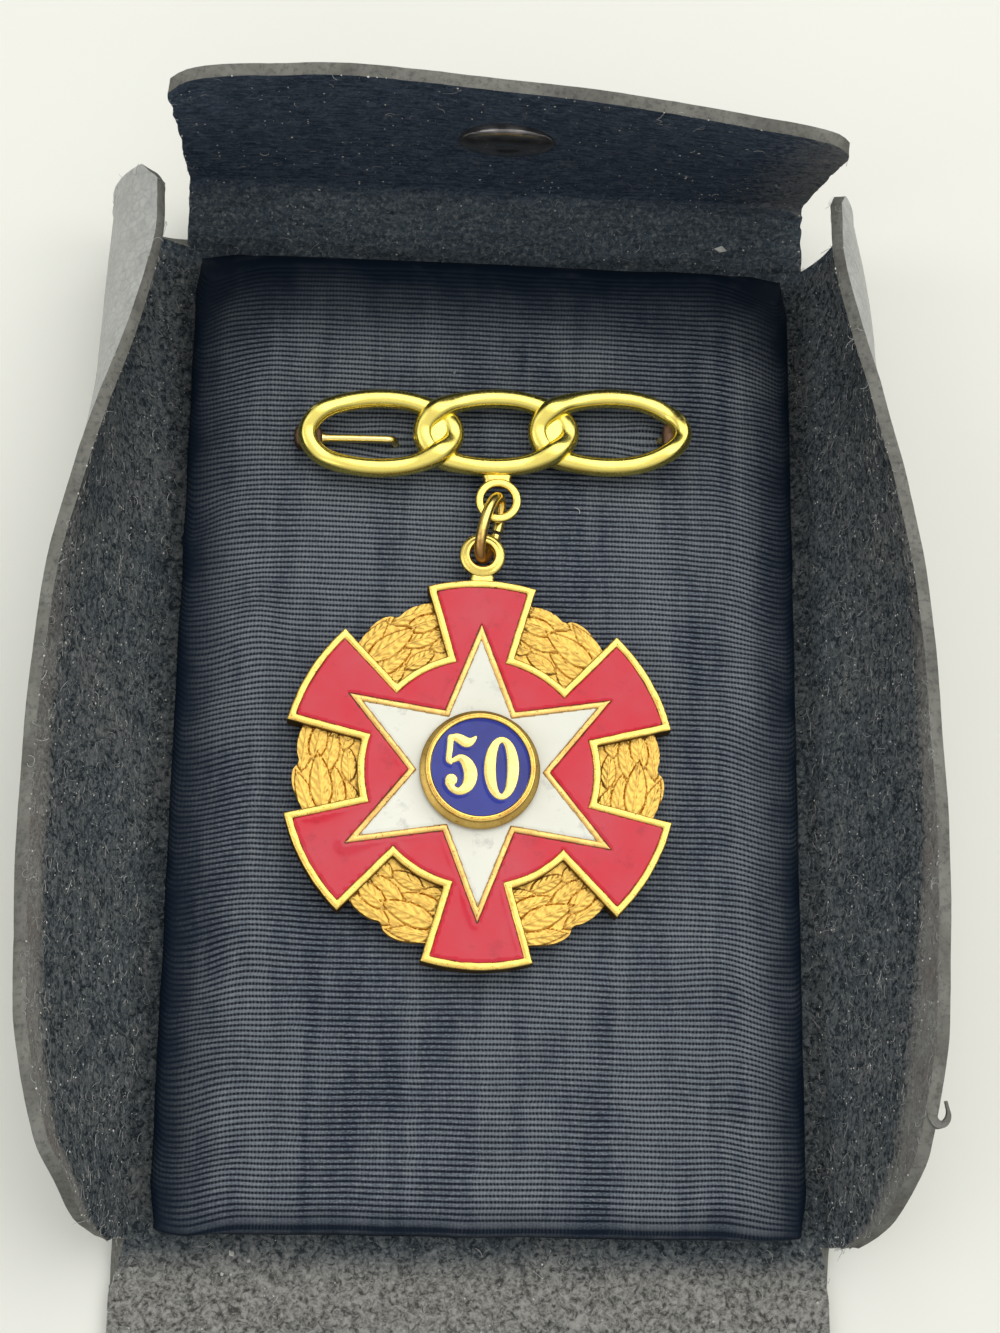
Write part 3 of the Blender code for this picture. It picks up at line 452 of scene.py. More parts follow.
def leather_inside():
    """Matted slate flesh side, streaked near the folds, paler where it is rubbed and at the cut edge, with
    painted shade on the snap flap: darker and bluer, darkest above its crease.
    """
    s = Shader("leather_inside")
    cloud = s.noise(150, 5, 0.62)
    fuzz = s.noise(2300, 5, 0.72, distortion=0.6)
    curl = s.noise(1150, 4, 0.66, distortion=1.4)
    top = s.attribute("top")
    along = s.noise(1.0, 4, 0.65, s.stretch((2400, 420, 2400)))
    across = s.noise(1.0, 4, 0.65, s.stretch((420, 2400, 2400)))
    grain = s.sum(s.times(across, top), s.times(along, s.range(top, 0, 1, 1, 0)))
    base = s.blend(s.range(cloud, 0.35, 0.66), (0.110, 0.134, 0.148), (0.190, 0.205, 0.202))
    # Painted shade: the snap flap (the 'top' attribute), which faces away from the key light, is coloured a
    # darker, bluer slate
    base = s.blend(s.range(top, 0.0, 1.0, 0.0, 0.8), base, (0.086, 0.118, 0.146))
    matted = s.times(s.range(curl, 0.40, 0.53, 0.92, 0.0), s.range(top, 0, 1, 1.0, 0.3))
    base = s.blend(matted, base, (0.022, 0.031, 0.038))
    base = s.blend(s.range(grain, 0.36, 0.52, 0.55, 0.0), base, (0.028, 0.042, 0.056))
    base = s.blend(s.range(fuzz, 0.52, 0.68, 0.0, 0.75), base, (0.330, 0.345, 0.335))
    base = s.blend(s.range(fuzz, 0.34, 0.46, 0.7, 0.0), base, (0.012, 0.017, 0.023))
    # Painted shade: the snap flap's wall above its crease (the 'smooth' attribute) is coloured darker navy
    # still
    dark = s.blend(s.range(s.sum(grain, curl), 0.82, 1.16), (0.032, 0.050, 0.082), (0.094, 0.128, 0.182))
    base = s.blend(s.range(s.attribute("smooth"), 0.0, 1.0, 0.0, 0.88), base, dark)
    brown = s.blend(s.range(s.sum(fuzz, curl), 0.82, 1.16), (0.080, 0.078, 0.070), (0.420, 0.410, 0.372))
    base = s.blend(s.range(s.attribute("cover"), 0.0, 1.0, 0.0, 0.88), base, brown)
    worn = s.range(s.sum(s.attribute("taupe"), s.range(curl, 0.3, 0.7, -0.30, 0.30)), 0.10, 0.90)
    taupe = s.blend(s.range(cloud, 0.35, 0.65), (0.290, 0.270, 0.245), (0.390, 0.395, 0.365))
    taupe = s.blend(s.range(fuzz, 0.40, 0.62, 0.35, 0.0), taupe, (0.080, 0.078, 0.070))
    base = s.blend(worn, base, taupe)
    grit = s.sum(s.range(fuzz, 0.3, 0.7), s.range(curl, 0.3, 0.7, 0.0, 1.6))
    return s.finish(
        Base_Color=base, Roughness=1.0, Specular_IOR_Level=0.04, Normal=s.bump(grit, 0.00018, 0.8)
    )


def leather_outside():
    """Pebbled, polished grain side, coloured pale grey as a painted reflection of the bright room on the
    dark leather.
    """
    s = Shader("leather_outside")
    pebble = s.cells(1900, "F1")
    cracks = s.cells(1050, "DISTANCE_TO_EDGE")
    cloud = s.noise(320, 4, 0.6)
    patch = s.noise(700, 3, 0.7, distortion=0.6)
    # Painted reflection: these pale greys stand in for the glare that the dark, polished grain catches
    base = s.blend(s.range(cloud, 0.36, 0.66), (0.38, 0.385, 0.360), (0.47, 0.475, 0.445))
    base = s.blend(s.range(cracks, 0.0, 0.16, 0.22, 0.0), base, (0.20, 0.205, 0.20))
    base = s.blend(s.range(patch, 0.50, 0.68, 0.0, 0.45), base, (0.24, 0.245, 0.235))
    grain = s.sum(s.range(pebble, 0.0, 0.9, 1.0, 0.0), s.range(cracks, 0.0, 0.2))
    return s.finish(
        Base_Color=base, Roughness=s.range(cloud, 0.3, 0.7, 0.40, 0.58), Normal=s.bump(grain, 0.00007, 0.8)
    )


def leather_edge():
    """Pale, fibrous cut edge."""
    s = Shader("leather_edge")
    fibre = s.noise(1800, 4, 0.7)
    cloud = s.noise(220, 4, 0.6)
    base = s.blend(s.range(cloud, 0.35, 0.65), (0.135, 0.132, 0.116), (0.215, 0.215, 0.190))
    base = s.blend(s.range(fibre, 0.48, 0.72, 0.0, 0.7), base, (0.060, 0.060, 0.056))
    return s.finish(
        Base_Color=base, Roughness=0.95, Specular_IOR_Level=0.1, Normal=s.bump(fibre, 0.00012, 0.8)
    )


def ribbed_cloth():
    """Navy ribbed silk: pale ribs, gaps painted near-black as shade and dotted by the warp, watered bands
    across the ribs, and painted shade towards the pad's edges.
    """
    s = Shader("ribbed_cloth")
    bands = s.noise(1.0, 3, 0.6, s.stretch((330, 26, 1)), distortion=0.5)
    broad = s.noise(1.0, 2, 0.5, s.stretch((110, 18, 1)), distortion=0.5)
    patch = s.noise(210, 3, 0.6)
    threads = s.noise(1.0, 2, 0.5, s.stretch((3600, 9000, 900)))
    sway = s.noise(420, 3, 0.6)
    phase = s.sum(s.times(s.along("X"), math.tau / WARP_PITCH), s.times(sway, WARP_SWAY))
    warp = s.range(s.node("ShaderNodeMath", {0: phase}, operation="SINE").outputs[0], -0.6, 0.8)
    watered = s.sum(s.range(bands, 0.38, 0.62), s.range(broad, 0.36, 0.60))
    watered = s.range(s.sum(watered, s.range(patch, 0.3, 0.7, -0.4, 0.4)), 0.15, 1.65)
    # Painted shade: lit, from the pad's 'edge' attribute, falls towards the borders, where the cloth is then
    # coloured near-black navy
    lit = s.range(s.sum(s.attribute("edge"), s.range(patch, 0.3, 0.7, -0.10, 0.10)), 0.0, 1.0)
    crest = s.attribute("crest")
    silk = s.blend(watered, (0.055, 0.071, 0.096), (0.142, 0.163, 0.186))
    silk = s.blend(s.range(threads, 0.42, 0.68, 0.0, 0.6), silk, (0.260, 0.280, 0.295))
    silk = s.blend(s.range(warp, 0.0, 0.45, 0.24, 0.0), silk, (0.010, 0.016, 0.028))
    seen = s.times(s.range(watered, 0.1, 0.9, 0.0, 0.30), warp)
    # Painted shade: the gaps between the ribs are coloured near-black for the shade in the grooves; the
    # watered bands and the warp let some silk show there
    gap = s.blend(seen, (0.002, 0.005, 0.012), silk)
    base = s.blend(s.range(crest, 0.58, 0.90), gap, silk)
    base = s.blend(lit, (0.004, 0.009, 0.018), base)
    return s.finish(
        Base_Color=base, Roughness=0.6, Specular_IOR_Level=0.10, Normal=s.bump(threads, 0.00002, 0.5)
    )


def gold(
    name, bright, deep, rough=0.24, wear=0.35, pits=0.5, ramp=None, shade=(0.10, 0.055, 0.012),
    depth=0.000012,
):
    """Gilt metal: two golds in clouds, small pits, and painted shade with grime that darkens it below the
    ramp's lower level and fades out by its upper one.
    """
    s = Shader(name)
    cloud = s.noise(420, 4, 0.6)
    fine = s.noise(2600, 4, 0.65)
    pit = s.range(s.noise(5200, 2, 0.5), 0.60, 0.74)
    base = s.blend(s.range(cloud, 0.35, 0.68, 0.0, wear), bright, deep)
    base = s.blend(s.times(pit, pits), base, shade)
    if ramp:
        jitter = s.range(fine, 0.2, 0.8, -0.12, 0.12)
        # Painted shade with grime: below the ramp's levels, in hollows and down walls, the gold turns to the
        # shade colour
        grime_and_shade = s.range(s.sum(s.range(s.along("Z"), *ramp), jitter), 0.0, 1.0, 1.0, 0.0)
        base = s.blend(grime_and_shade, base, shade)
        roughness = s.range(grime_and_shade, 0.0, 1.0, rough, 0.62)
    else:
        roughness = s.range(fine, 0.3, 0.7, rough * 0.8, rough * 1.35)
    return s.finish(
        Base_Color=base, Metallic=1.0, Roughness=roughness,
        Normal=s.bump(s.sum(fine, s.times(pit, -1.0)), depth, 0.6),
    )


def ring_gold():
    """Jump ring: bright where it hangs in the bar's eye, browned towards the pendant."""
    s = Shader("ring_gold")
    fine = s.noise(2200, 4, 0.6)
    worn = s.range(s.sum(s.attribute("brown"), s.range(fine, 0.2, 0.8, -0.25, 0.25)), 0.25, 0.8)
    base = s.blend(worn, (0.93, 0.70, 0.20), (0.40, 0.21, 0.065))
    return s.finish(
        Base_Color=base, Metallic=1.0, Roughness=s.range(worn, 0.0, 1.0, 0.2, 0.42),
        Normal=s.bump(fine, 0.000012, 0.5),
    )


def enamel(name, deep, pale, speck, speck_amount, border=None):
    """Fired enamel: slow colour clouds, fine specks and a glassy coat."""
    s = Shader(name)
    cloud = s.noise(160, 3, 0.55)
    marks = s.range(s.noise(520, 5, 0.7), 0.57, 0.70, 0.0, speck_amount)
    base = s.blend(s.range(cloud, 0.32, 0.70), deep, pale)
    base = s.blend(marks, base, speck)
    if border:
        deep_end, clean = PENDANT_FRONT - ENAMEL_GROOVE * 1.1, PENDANT_FRONT - ENAMEL_GROOVE * 0.8
        base = s.blend(s.range(s.along("Z"), deep_end, clean, 1.0, 0.0), base, border)
    ripple = s.noise(330, 2, 0.5)
    return s.finish(
        Base_Color=base, Roughness=0.07, IOR=1.38, Coat_Weight=0.10, Coat_Roughness=0.03,
        Normal=s.bump(ripple, 0.00003, 0.5),
    )


def dark_metal():
    """Worn black lacquer over metal."""
    s = Shader("dark_metal")
    cloud = s.noise(700, 4, 0.6)
    base = s.blend(s.range(cloud, 0.35, 0.7), (0.200, 0.190, 0.190), (0.360, 0.335, 0.320))
    return s.finish(
        Base_Color=base, Metallic=0.90, Roughness=s.range(cloud, 0.3, 0.7, 0.16, 0.28),
        Normal=s.bump(cloud, 0.00003, 0.5),
    )


def plain(name, first, second, scale, rough):
    """A matt surface of two close colours."""
    s = Shader(name)
    base = s.blend(s.range(s.noise(scale, 3, 0.5), 0.35, 0.65), first, second)
    return s.finish(Base_Color=base, Roughness=rough)


# Mesh helpers

def add_object(name, points, faces, attributes=None):
    mesh = bpy.data.meshes.new(name)
    mesh.from_pydata([tuple(point) for point in points], [], faces)
    for key, values in (attributes or {}).items():
        mesh.attributes.new(key, "FLOAT", "POINT").data.foreach_set("value", np.asarray(values, np.float32))
    mesh.validate()
    obj = bpy.data.objects.new(name, mesh)
    bpy.context.scene.collection.objects.link(obj)
    return obj


def dress(obj, materials, nodes=(), sharp=40):
    """Gives a piece its materials, smooth shading, the body it rides on and the nodes it stands for."""
    kept = [face.material_index for face in obj.data.polygons]
    obj.data.materials.clear()
    for made in materials if isinstance(materials, (list, tuple)) else [materials]:
        obj.data.materials.append(made)
    obj.data.polygons.foreach_set("material_index", kept)
    obj.data.shade_smooth()
    obj.data.set_sharp_from_angle(angle=math.radians(sharp))
    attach(obj, "root")
    if nodes:
        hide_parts(*nodes)
    return obj


def apply(obj):
    """The object with its modifiers made part of its mesh."""
    graph = bpy.context.evaluated_depsgraph_get()
    mesh = bpy.data.meshes.new_from_object(obj.evaluated_get(graph))
    old = obj.data
    obj.modifiers.clear()
    obj.data = mesh
    bpy.data.meshes.remove(old)
    return obj


def loft(name, loops, closed=False, cap_start=False, cap_end=False):
    """Faces between loops of equal length. Closed also joins the last loop to the first."""
    count = len(loops[0])
    points = [point for loop in loops for point in loop]
    faces = []
    pairs = [(k, k + 1) for k in range(len(loops) - 1)] + ([(len(loops) - 1, 0)] if closed else [])
    for low, high in pairs:
        for k in range(count):
            after = (k + 1) % count
            faces.append((low * count + k, low * count + after, high * count + after, high * count + k))
    if cap_start:
        faces.append(tuple(range(count))[::-1])
    if cap_end:
        faces.append(tuple(range((len(loops) - 1) * count, len(loops) * count)))
    obj = add_object(name, points, faces)
    right_way_out(obj)
    return obj


def right_way_out(obj):
    shape = bmesh.new()
    shape.from_mesh(obj.data)
    bmesh.ops.recalc_face_normals(shape, faces=shape.faces)
    shape.to_mesh(obj.data)
    shape.free()


def inside(points, outline):
    """Which of the points lie inside the outline."""
    x, y = points[:, 0], points[:, 1]
    found = np.zeros(len(points), bool)
    for (ax, ay), (bx, by) in zip(outline, np.roll(outline, -1, axis=0)):
        if ay != by:
            crosses = (ay > y) != (by > y)
            found ^= crosses & (x < (bx - ax) * (y - ay) / (by - ay) + ax)
    return found


def edge_distance(points, outlines):
    """How far each point is from the nearest of the closed outlines."""
    best = np.full(len(points), 1.0)
    for outline in outlines:
        for a, b in zip(outline, np.roll(outline, -1, axis=0)):
            run = b - a
            share = np.clip(((points - a) @ run) / max(run @ run, 1e-18), 0, 1)
            best = np.minimum(best, np.hypot(*(points - a - share[:, None] * run).T))
    return best


def resample(outline, cell):
    """The closed outline with its corners kept and its sides cut into even pieces."""
    points = []
    for a, b in zip(outline, np.roll(outline, -1, axis=0)):
        count = max(1, round(math.dist(a, b) / cell))
        points += [a + (b - a) * k / count for k in range(count)]
    return np.array(points)


def relief(name, outline, holes, cell, height, base, place):
    """A closed solid over a flat outline: its top follows height(points, distance to the edges)."""
    rings = [resample(np.array(ring), cell) for ring in (outline, *holes)]
    low, high = rings[0].min(0), rings[0].max(0)
    across = np.arange(low[0], high[0], cell)
    along = np.arange(low[1], high[1], cell * math.sqrt(3) / 2)
    grid = np.array([(x + cell / 2 * (j % 2), y) for j, y in enumerate(along) for x in across])
    grid = grid[inside(grid, rings[0])]
    for ring in rings[1:]:
        grid = grid[~inside(grid, ring)]
    grid = grid[edge_distance(grid, rings) > cell * 0.45]
    points, edges, start = [], [], 0
    for ring in rings:
        points += [Vector(point) for point in ring]
        edges += [(start + k, start + (k + 1) % len(ring)) for k in range(len(ring))]
        start += len(ring)
    points += [Vector(point) for point in grid]
    flat, _, faces, _, _, _ = delaunay_2d_cdt(points, edges, [], 1, 1e-9)
    flat = np.array([tuple(point) for point in flat])
    middles = np.array([flat[list(face)].mean(0) for face in faces])
    kept = inside(middles, rings[0])
    for ring in rings[1:]:
        kept &= ~inside(middles, ring)
    faces = [face for face, ok in zip(faces, kept) if ok]
    heights = height(flat, edge_distance(flat, rings))
    top = [(x, y, z) for (x, y), z in zip(flat, heights)]
    sides = {}
    for face in faces:
        for a, b in zip(face, face[1:] + face[:1]):
            if (b, a) in sides:
                del sides[(b, a)]
            else:
                sides[(a, b)] = True
    count = len(top)
    rim = sorted({k for pair in sides for k in pair})
    lower = {k: count + n for n, k in enumerate(rim)}
    points = top + [(flat[k][0], flat[k][1], base) for k in rim]
    made = [tuple(face) for face in faces]
    made += [(b, a, lower[a], lower[b]) for a, b in sides]
    obj = add_object(name, points, made)
    shape = bmesh.new()
    shape.from_mesh(obj.data)
    bmesh.ops.holes_fill(shape, edges=[edge for edge in shape.edges if edge.is_boundary], sides=0)
    bmesh.ops.recalc_face_normals(shape, faces=shape.faces)
    shape.to_mesh(obj.data)
    shape.free()
    obj.data.transform(place)
    return obj


def soft_top(level, drop, reach):
    """A relief's height that is level in the middle and rolls down by the drop near its edges."""
    return lambda points, away: level - drop * np.exp(-away / reach)


def scaled(profile, radius, height):
    return [(radius * out, height * up) for out, up in profile]


def turned(name, profile, steps, place):
    """A closed profile of (radius, height), from the axis round to the axis, turned about Z."""
    points, rows, faces = [], [], []
    for radius, height in profile:
        start = len(points)
        if radius < 1e-9:
            points.append(place @ Vector((0, 0, height)))
            rows.append([start] * steps)
        else:
            turn = [2 * math.pi * k / steps for k in range(steps)]
            points += [place @ Vector((radius * math.cos(a), radius * math.sin(a), height)) for a in turn]
            rows.append(list(range(start, start + steps)))
    for low, high in zip(rows, rows[1:]):
        for k in range(steps):
            after = (k + 1) % steps
            corners = []
            for index in (low[k], low[after], high[after], high[k]):
                if index not in corners:
                    corners.append(index)
            if len(corners) > 2:
                faces.append(tuple(corners))
    obj = add_object(name, points, faces)
    right_way_out(obj)
    return obj


def sweep(name, points, section, closed, up=Vector((0, 0, 1)), place=None, swell=None):
    """A section of (side, up) offsets carried along points, as a closed skin."""
    place = place or Matrix.Identity(4)
    loops, count = [], len(points)
    for k, point in enumerate(points):
        before = points[(k - 1) % count] if closed else points[max(k - 1, 0)]
        after = points[(k + 1) % count] if closed else points[min(k + 1, count - 1)]
        run = (after - before).normalized()
        side = run.cross(up).normalized()
        over = side.cross(run)
        size = swell(k / (count - 1)) if swell else 1.0
        loops.append([place @ (point + size * (side * a + over * b)) for a, b in section])
    return loft(name, loops, closed=closed, cap_start=not closed, cap_end=not closed)


def round_section(radius, steps, flat=1.0, press=0.3):
    """A round section whose top above flat times the radius is pressed down to press times its height."""
    made = []
    for k in range(steps):
        turn = 2 * math.pi * k / steps
        side, up = radius * math.cos(turn), radius * math.sin(turn)
        if up > radius * flat:
            up = radius * flat + (up - radius * flat) * press
        made.append((side, up))
    return made


def bearing(degrees, radius):
    turn = math.radians(degrees)
    return radius * math.sin(turn), radius * math.cos(turn)


def read_row(rows, share):
    """The other columns of a table at this share, on a smooth curve through its rows."""
    low = max(k for k in range(len(rows) - 1) if rows[k][0] <= share)
    here, there = rows[low], rows[low + 1]
    before, after = rows[max(low - 1, 0)], rows[min(low + 2, len(rows) - 1)]
    span = there[0] - here[0]
    t = (share - here[0]) / span
    columns = []
    for column in range(1, len(here)):
        leave = (there[column] - before[column]) / (there[0] - before[0]) * span
        arrive = (after[column] - here[column]) / (after[0] - here[0]) * span
        rise = there[column] - here[column]
        columns.append(
            here[column]
            + t * leave
            + t * t * (3 * rise - 2 * leave - arrive)
            + t * t * t * (leave + arrive - 2 * rise)
        )
    return columns


def ease(value, low, high):
    """0 below low, 1 above high, and smooth between."""
    share = min(max((value - low) / (high - low), 0.0), 1.0)
    return share * share * (3 - 2 * share)


def ripple(x, y, scale, seed):
    return noise.noise(Vector((x / scale, y / scale, seed)))


def wave(x, y, kind):
    """A ripple of a kind given as (rise, length, seed)."""
    rise, length, seed = kind
    return rise * ripple(x, y, length, seed)


# The case

def side_section(slope, curl):
    """A side flap's section as runs of (length, turn): a bend at the fold, then a steady curl."""
    lean = math.radians(slope - curl / 2)
    bend = FOLD_RADIUS * lean
    return [(bend, lean), (SIDE_FLAP - bend, math.radians(curl))]


def snap_section(slope, curl):
    """The snap flap's section: a bend, a straight band up to its crease, and the wall over the crease."""
    band, start = math.radians(SNAP_BAND), math.radians(slope - curl / 2)
    bend, crease = FOLD_RADIUS * band, CREASE_RADIUS * (start - band)
    before = SNAP_CREASE - crease / 2
    return [
        (bend, band),
        (before - bend, 0.0),
        (crease, start - band),
        (SNAP_FLAP - before - crease, math.radians(curl)),
    ]


def walk(runs, distance):
    """(out, up, turn) this far along a section's runs."""
    out = up = turn = 0.0
    for length, bend in runs:
        part = min(length, distance)
        chord, lean = part, turn + bend * part / length / 2
        if abs(bend) > 1e-5:
            chord = 2 * length / bend * math.sin(bend * part / length / 2)
        out, up = out + chord * math.cos(lean), up + chord * math.sin(lean)
        turn += bend * part / length
        distance -= part
    return out, up, turn


def flap_point(section, row, step, steps, trim=0.0):
    """(out, up, distance) at a step of the flap: the bend's steps, then the wall's to its free edge."""
    reach, slope, curl = row
    runs = section(slope, curl)
    bend = runs[0][0]
    distance = bend * step / BEND_STEPS
    if step > BEND_STEPS:
        wall = sum(length for length, _ in runs) * (reach - trim) - bend
        distance = bend + wall * (step - BEND_STEPS) / (steps - BEND_STEPS)
    out, up, _ = walk(runs, distance)
    return out, up, distance


def cover_rise():
    return math.asin((STUD_HEIGHT + 2 * CELL_GAP) / (COVER_FLAP - STUD_MARGIN))


def snap_place(offset):
    """A frame on the snap flap, its Z axis out of the inner face and its Y axis towards the free edge."""
    _, slope, curl = read_row(TOP_FLAP, SOCKET_SHARE)
    out, up, turn = walk(snap_section(slope, curl), SOCKET_ALONG)
    middle = Vector((BASE_HALF_WIDTH * (2 * SOCKET_SHARE - 1), BASE_HALF_LENGTH + out, BASE_MIDDLE + up))
    turned_up = Matrix.Rotation(turn, 4, "X")
    return Matrix.Translation(middle + turned_up @ Vector((0, 0, offset))) @ turned_up


def cover_place(offset):
    """A frame on the cover where its press stud sits, its Z axis out of the inner face."""
    reach, rise = COVER_FLAP - STUD_MARGIN, cover_rise()
    middle = Vector((0, -BASE_HALF_LENGTH - reach * math.cos(rise), BASE_MIDDLE + reach * math.sin(rise)))
    leaned = Matrix.Rotation(-rise, 4, "X")
    return Matrix.Translation(middle + leaned @ Vector((0, 0, offset))) @ leaned


def spaced(length, cell):
    count = max(1, round(length / cell))
    return [k / count for k in range(count + 1)]


def case_stations():
    """Fine columns and rows of the sheet, each (place in the base, share of the fold, signed step)."""

    def steps(width, count):
        bend = [k / BEND_CUT * BEND_STEPS for k in range(1, BEND_CUT + 1)]
        wall = spaced(width - FOLD_RADIUS, WALL_CELL)[1:]
        return bend + [BEND_STEPS + share * (count - BEND_STEPS) for share in wall]

    def stations(half, cell, low, high):
        line = [(-half, 0.0, -step) for step in reversed(low)]
        line += [(half * (2 * share - 1), share, 0.0) for share in spaced(2 * half, cell)]
        return line + [(half, 1.0, step) for step in high]

    side = steps(SIDE_FLAP, BEND_STEPS + SIDE_STEPS)
    snap = steps(SNAP_FLAP, BEND_STEPS + SNAP_STEPS)
    near = [k * CORNER_FLATTEN / 8 for k in range(1, 9)]
    near += [CORNER_FLATTEN + (0.02 - CORNER_FLATTEN) * share for share in spaced(0.015, 0.0006)[1:]]
    far = [0.02 + (COVER_FLAP - 0.02) * share for share in spaced(COVER_FLAP - 0.02, 0.0012)[1:]]
    columns = stations(BASE_HALF_WIDTH, BASE_CELL, side, side)
    rows = stations(BASE_HALF_LENGTH, WALL_CELL, near + far, snap)
    return columns, rows


def case_shell():
    """The leather sheet: smooth flaps with creases along the folds, waves, and a fibrous cut edge."""
    columns, rows = case_stations()
    side_steps, snap_steps = BEND_STEPS + SIDE_STEPS, BEND_STEPS + SNAP_STEPS
    row_tables = [(read_row(LEFT_FLAP, row[1]), read_row(RIGHT_FLAP, row[1])) for row in rows]
    column_tables = [read_row(TOP_FLAP, column[1]) for column in columns]

    def place(column, row, tables, top):
        x, _, step_x = column
        y, _, step_y = row
        corner = step_x != 0 and step_y != 0
        side = up = out = along = lift = 0.0
        if step_x:
            trim = EAR_TRIM * step_y if corner and step_y > 0 else 0.0
            out, up, side = flap_point(side_section, tables[step_x > 0], abs(step_x), side_steps, trim)
        if step_y > 0:
            trim = EAR_TRIM * abs(step_x) if corner else 0.0
            along, lift, _ = flap_point(snap_section, top, step_y, snap_steps, trim)
            if corner:
                away = min(max(step_y - BEND_STEPS, 0.0), 1.0)
                out *= 1 + away * (max(1 - lift / EAR_HEIGHT, EAR_LEAST) - 1)
                up *= 1 - away
        if step_y < 0:
            flat = min(-step_y / CORNER_FLATTEN, 1.0)
            out, up = out + (side - out) * flat, up * (1 - flat)
            edge = BASE_HALF_WIDTH + FOLD_RADIUS - abs(x) - out
            within = max(COVER_ROUND - max(edge, 0.0), 0)
            trim = COVER_ROUND - math.sqrt(max(COVER_ROUND**2 - within**2, 0))
            reach = -step_y - trim * ease(-step_y, COVER_FLAP - 3 * COVER_ROUND, COVER_FLAP)
            along, lift = -reach * math.cos(cover_rise()), reach * math.sin(cover_rise())
        spread = 1 + SNAP_FLAP_FLARE * lift / SNAP_FLAP if step_y > 0 else 1
        if corner and step_y > 0:
            spread = 1 + (spread - 1) * min(max(step_y - BEND_STEPS, 0.0), 1.0)
        x = (x + math.copysign(out, step_x)) * spread
        return Vector((x, y + along, BASE_MIDDLE + math.hypot(up, lift)))

    def present(step_x, step_y):
        if not step_x or not step_y:
            return True
        if step_y < 0:
            return abs(step_x) <= COVER_EARS[step_x > 0]
        return step_y <= (RIGHT_EAR if step_x > 0 else LEFT_EAR) or abs(step_x) <= SNAP_EAR

    def outer(a, b):
        return b if b > 0 else a

    points = [[None] * len(rows) for _ in columns]
    facts = [[None] * len(rows) for _ in columns]
    for i, column in enumerate(columns):
        for j, row in enumerate(rows):
            points[i][j] = place(column, row, row_tables[j], column_tables[i])
            step_x, step_y = column[2], row[2]
            # smooth and top also carry painted shade: the material colours the snap flap darker and bluer,
            # and its wall above the crease darker still
            smooth = ease(step_y, CREASE_STEP - 0.5, CREASE_STEP + 0.5) if step_y > 0 else 0.0
            cover = ease(-step_y, 0.0, 0.004) if step_y < 0 else 0.0
            taupe = 0.5 * ease(column[0], 0.021, 0.032) if step_y > CREASE_STEP else 0.0
            if step_x and not step_y:
                free = (side_steps - abs(step_x)) / SIDE_STEPS * SIDE_FLAP
                wide = 0.0034 if step_x < 0 else 0.0024 + 0.0036 * (1 - ease(row[1], 0.10, 0.42))
                taupe = ease(1 - row[1], 0.10, 0.75) * (1 - ease(free, wide * 0.5, wide * 1.5))
            top = min(max(step_y, 0.0), 1.0)
            facts[i][j] = {"smooth": smooth, "cover": cover, "taupe": taupe, "top": top}

    band_x = [k for k, c in enumerate(columns) if c[2] == 0]
    band_y = [k for k, r in enumerate(rows) if r[2] == 0]
    hidden_x = (band_x[BASE_BAND], band_x[-1 - BASE_BAND])
    hidden_y = (band_y[BASE_BAND], band_y[-1 - BASE_BAND])

    index, flat, attributes = {}, [], {"smooth": [], "cover": [], "taupe": [], "top": []}
    faces = []

    def vertex(i, j):
        if (i, j) not in index:
            index[(i, j)] = len(flat)
            flat.append(points[i][j])
            for name, values in attributes.items():
                values.append(facts[i][j][name])
        return index[(i, j)]

    for i in range(len(columns) - 1):
        for j in range(len(rows) - 1):
            if hidden_x[0] <= i < hidden_x[1] and hidden_y[0] <= j < hidden_y[1]:
                continue
            if present(outer(columns[i][2], columns[i + 1][2]), outer(rows[j][2], rows[j + 1][2])):
                faces.append((vertex(i, j), vertex(i + 1, j), vertex(i + 1, j + 1), vertex(i, j + 1)))
    (left, right), (low, high) = hidden_x, hidden_y
    loop = [(i, low) for i in range(left, right)] + [(right, j) for j in range(low, high)]
    loop += [(i, high) for i in range(right, left, -1)] + [(left, j) for j in range(high, low, -1)]
    faces.append(tuple(vertex(i, j) for i, j in loop))

    obj = add_object("leather_case", flat, faces, attributes)
    mesh = obj.data
    mesh.update()
    normals = [v.normal.copy() for v in mesh.vertices]
    where = {number: key for key, number in index.items()}
    for vert, normal in zip(mesh.vertices, normals):
        i, j = where[vert.index]
        step_x, step_y = columns[i][2], rows[j][2]
        x, y, z = vert.co
        push = 0.0
        if step_y > 0:
            near = 1 - ease(step_y, CREASE_STEP - 0.4, CREASE_STEP + 0.4)
            away = step_y * 0.0008 + max(step_y - BEND_STEPS, 0) * 0.0029
            line = noise.noise(Vector((x / 0.011, away / 0.0011 + 0.4 * ripple(x, away, 0.004, 2.0), 3.1)))
            push += 0.00026 * near * line + 0.00008 * ripple(x, away, 0.004, 5.0)
            push += 0.00025 * ripple(x, away, 0.017, 8.0) * ease(step_y, BEND_STEPS, CREASE_STEP)
        if step_x and not step_y:
            near = 1 - ease(abs(step_x), BEND_STEPS, BEND_STEPS + 1.2)
            line = noise.noise(Vector((step_x * 2.6, y / 0.010, 4.4)))
            push += 0.00016 * near * line + 0.00012 * ripple(y, step_x * 0.005, 0.007, 6.0)
            push += 0.00030 * ripple(y, step_x * 0.004, 0.020, 9.0) * ease(abs(step_x), BEND_STEPS, 6)
        if step_y < 0:
            push += 0.00006 * ripple(x, y, 0.008, 2.0)
        push += 0.00003 * ripple(x + z, y + z, 0.0011, 1.0)
        vert.co = vert.co + normal * push
    skin = obj.modifiers.new("thickness", "SOLIDIFY")
    skin.thickness = LEATHER
    skin.offset = 0.0
    skin.use_even_offset = True
    skin.material_offset = 1
    skin.material_offset_rim = 2
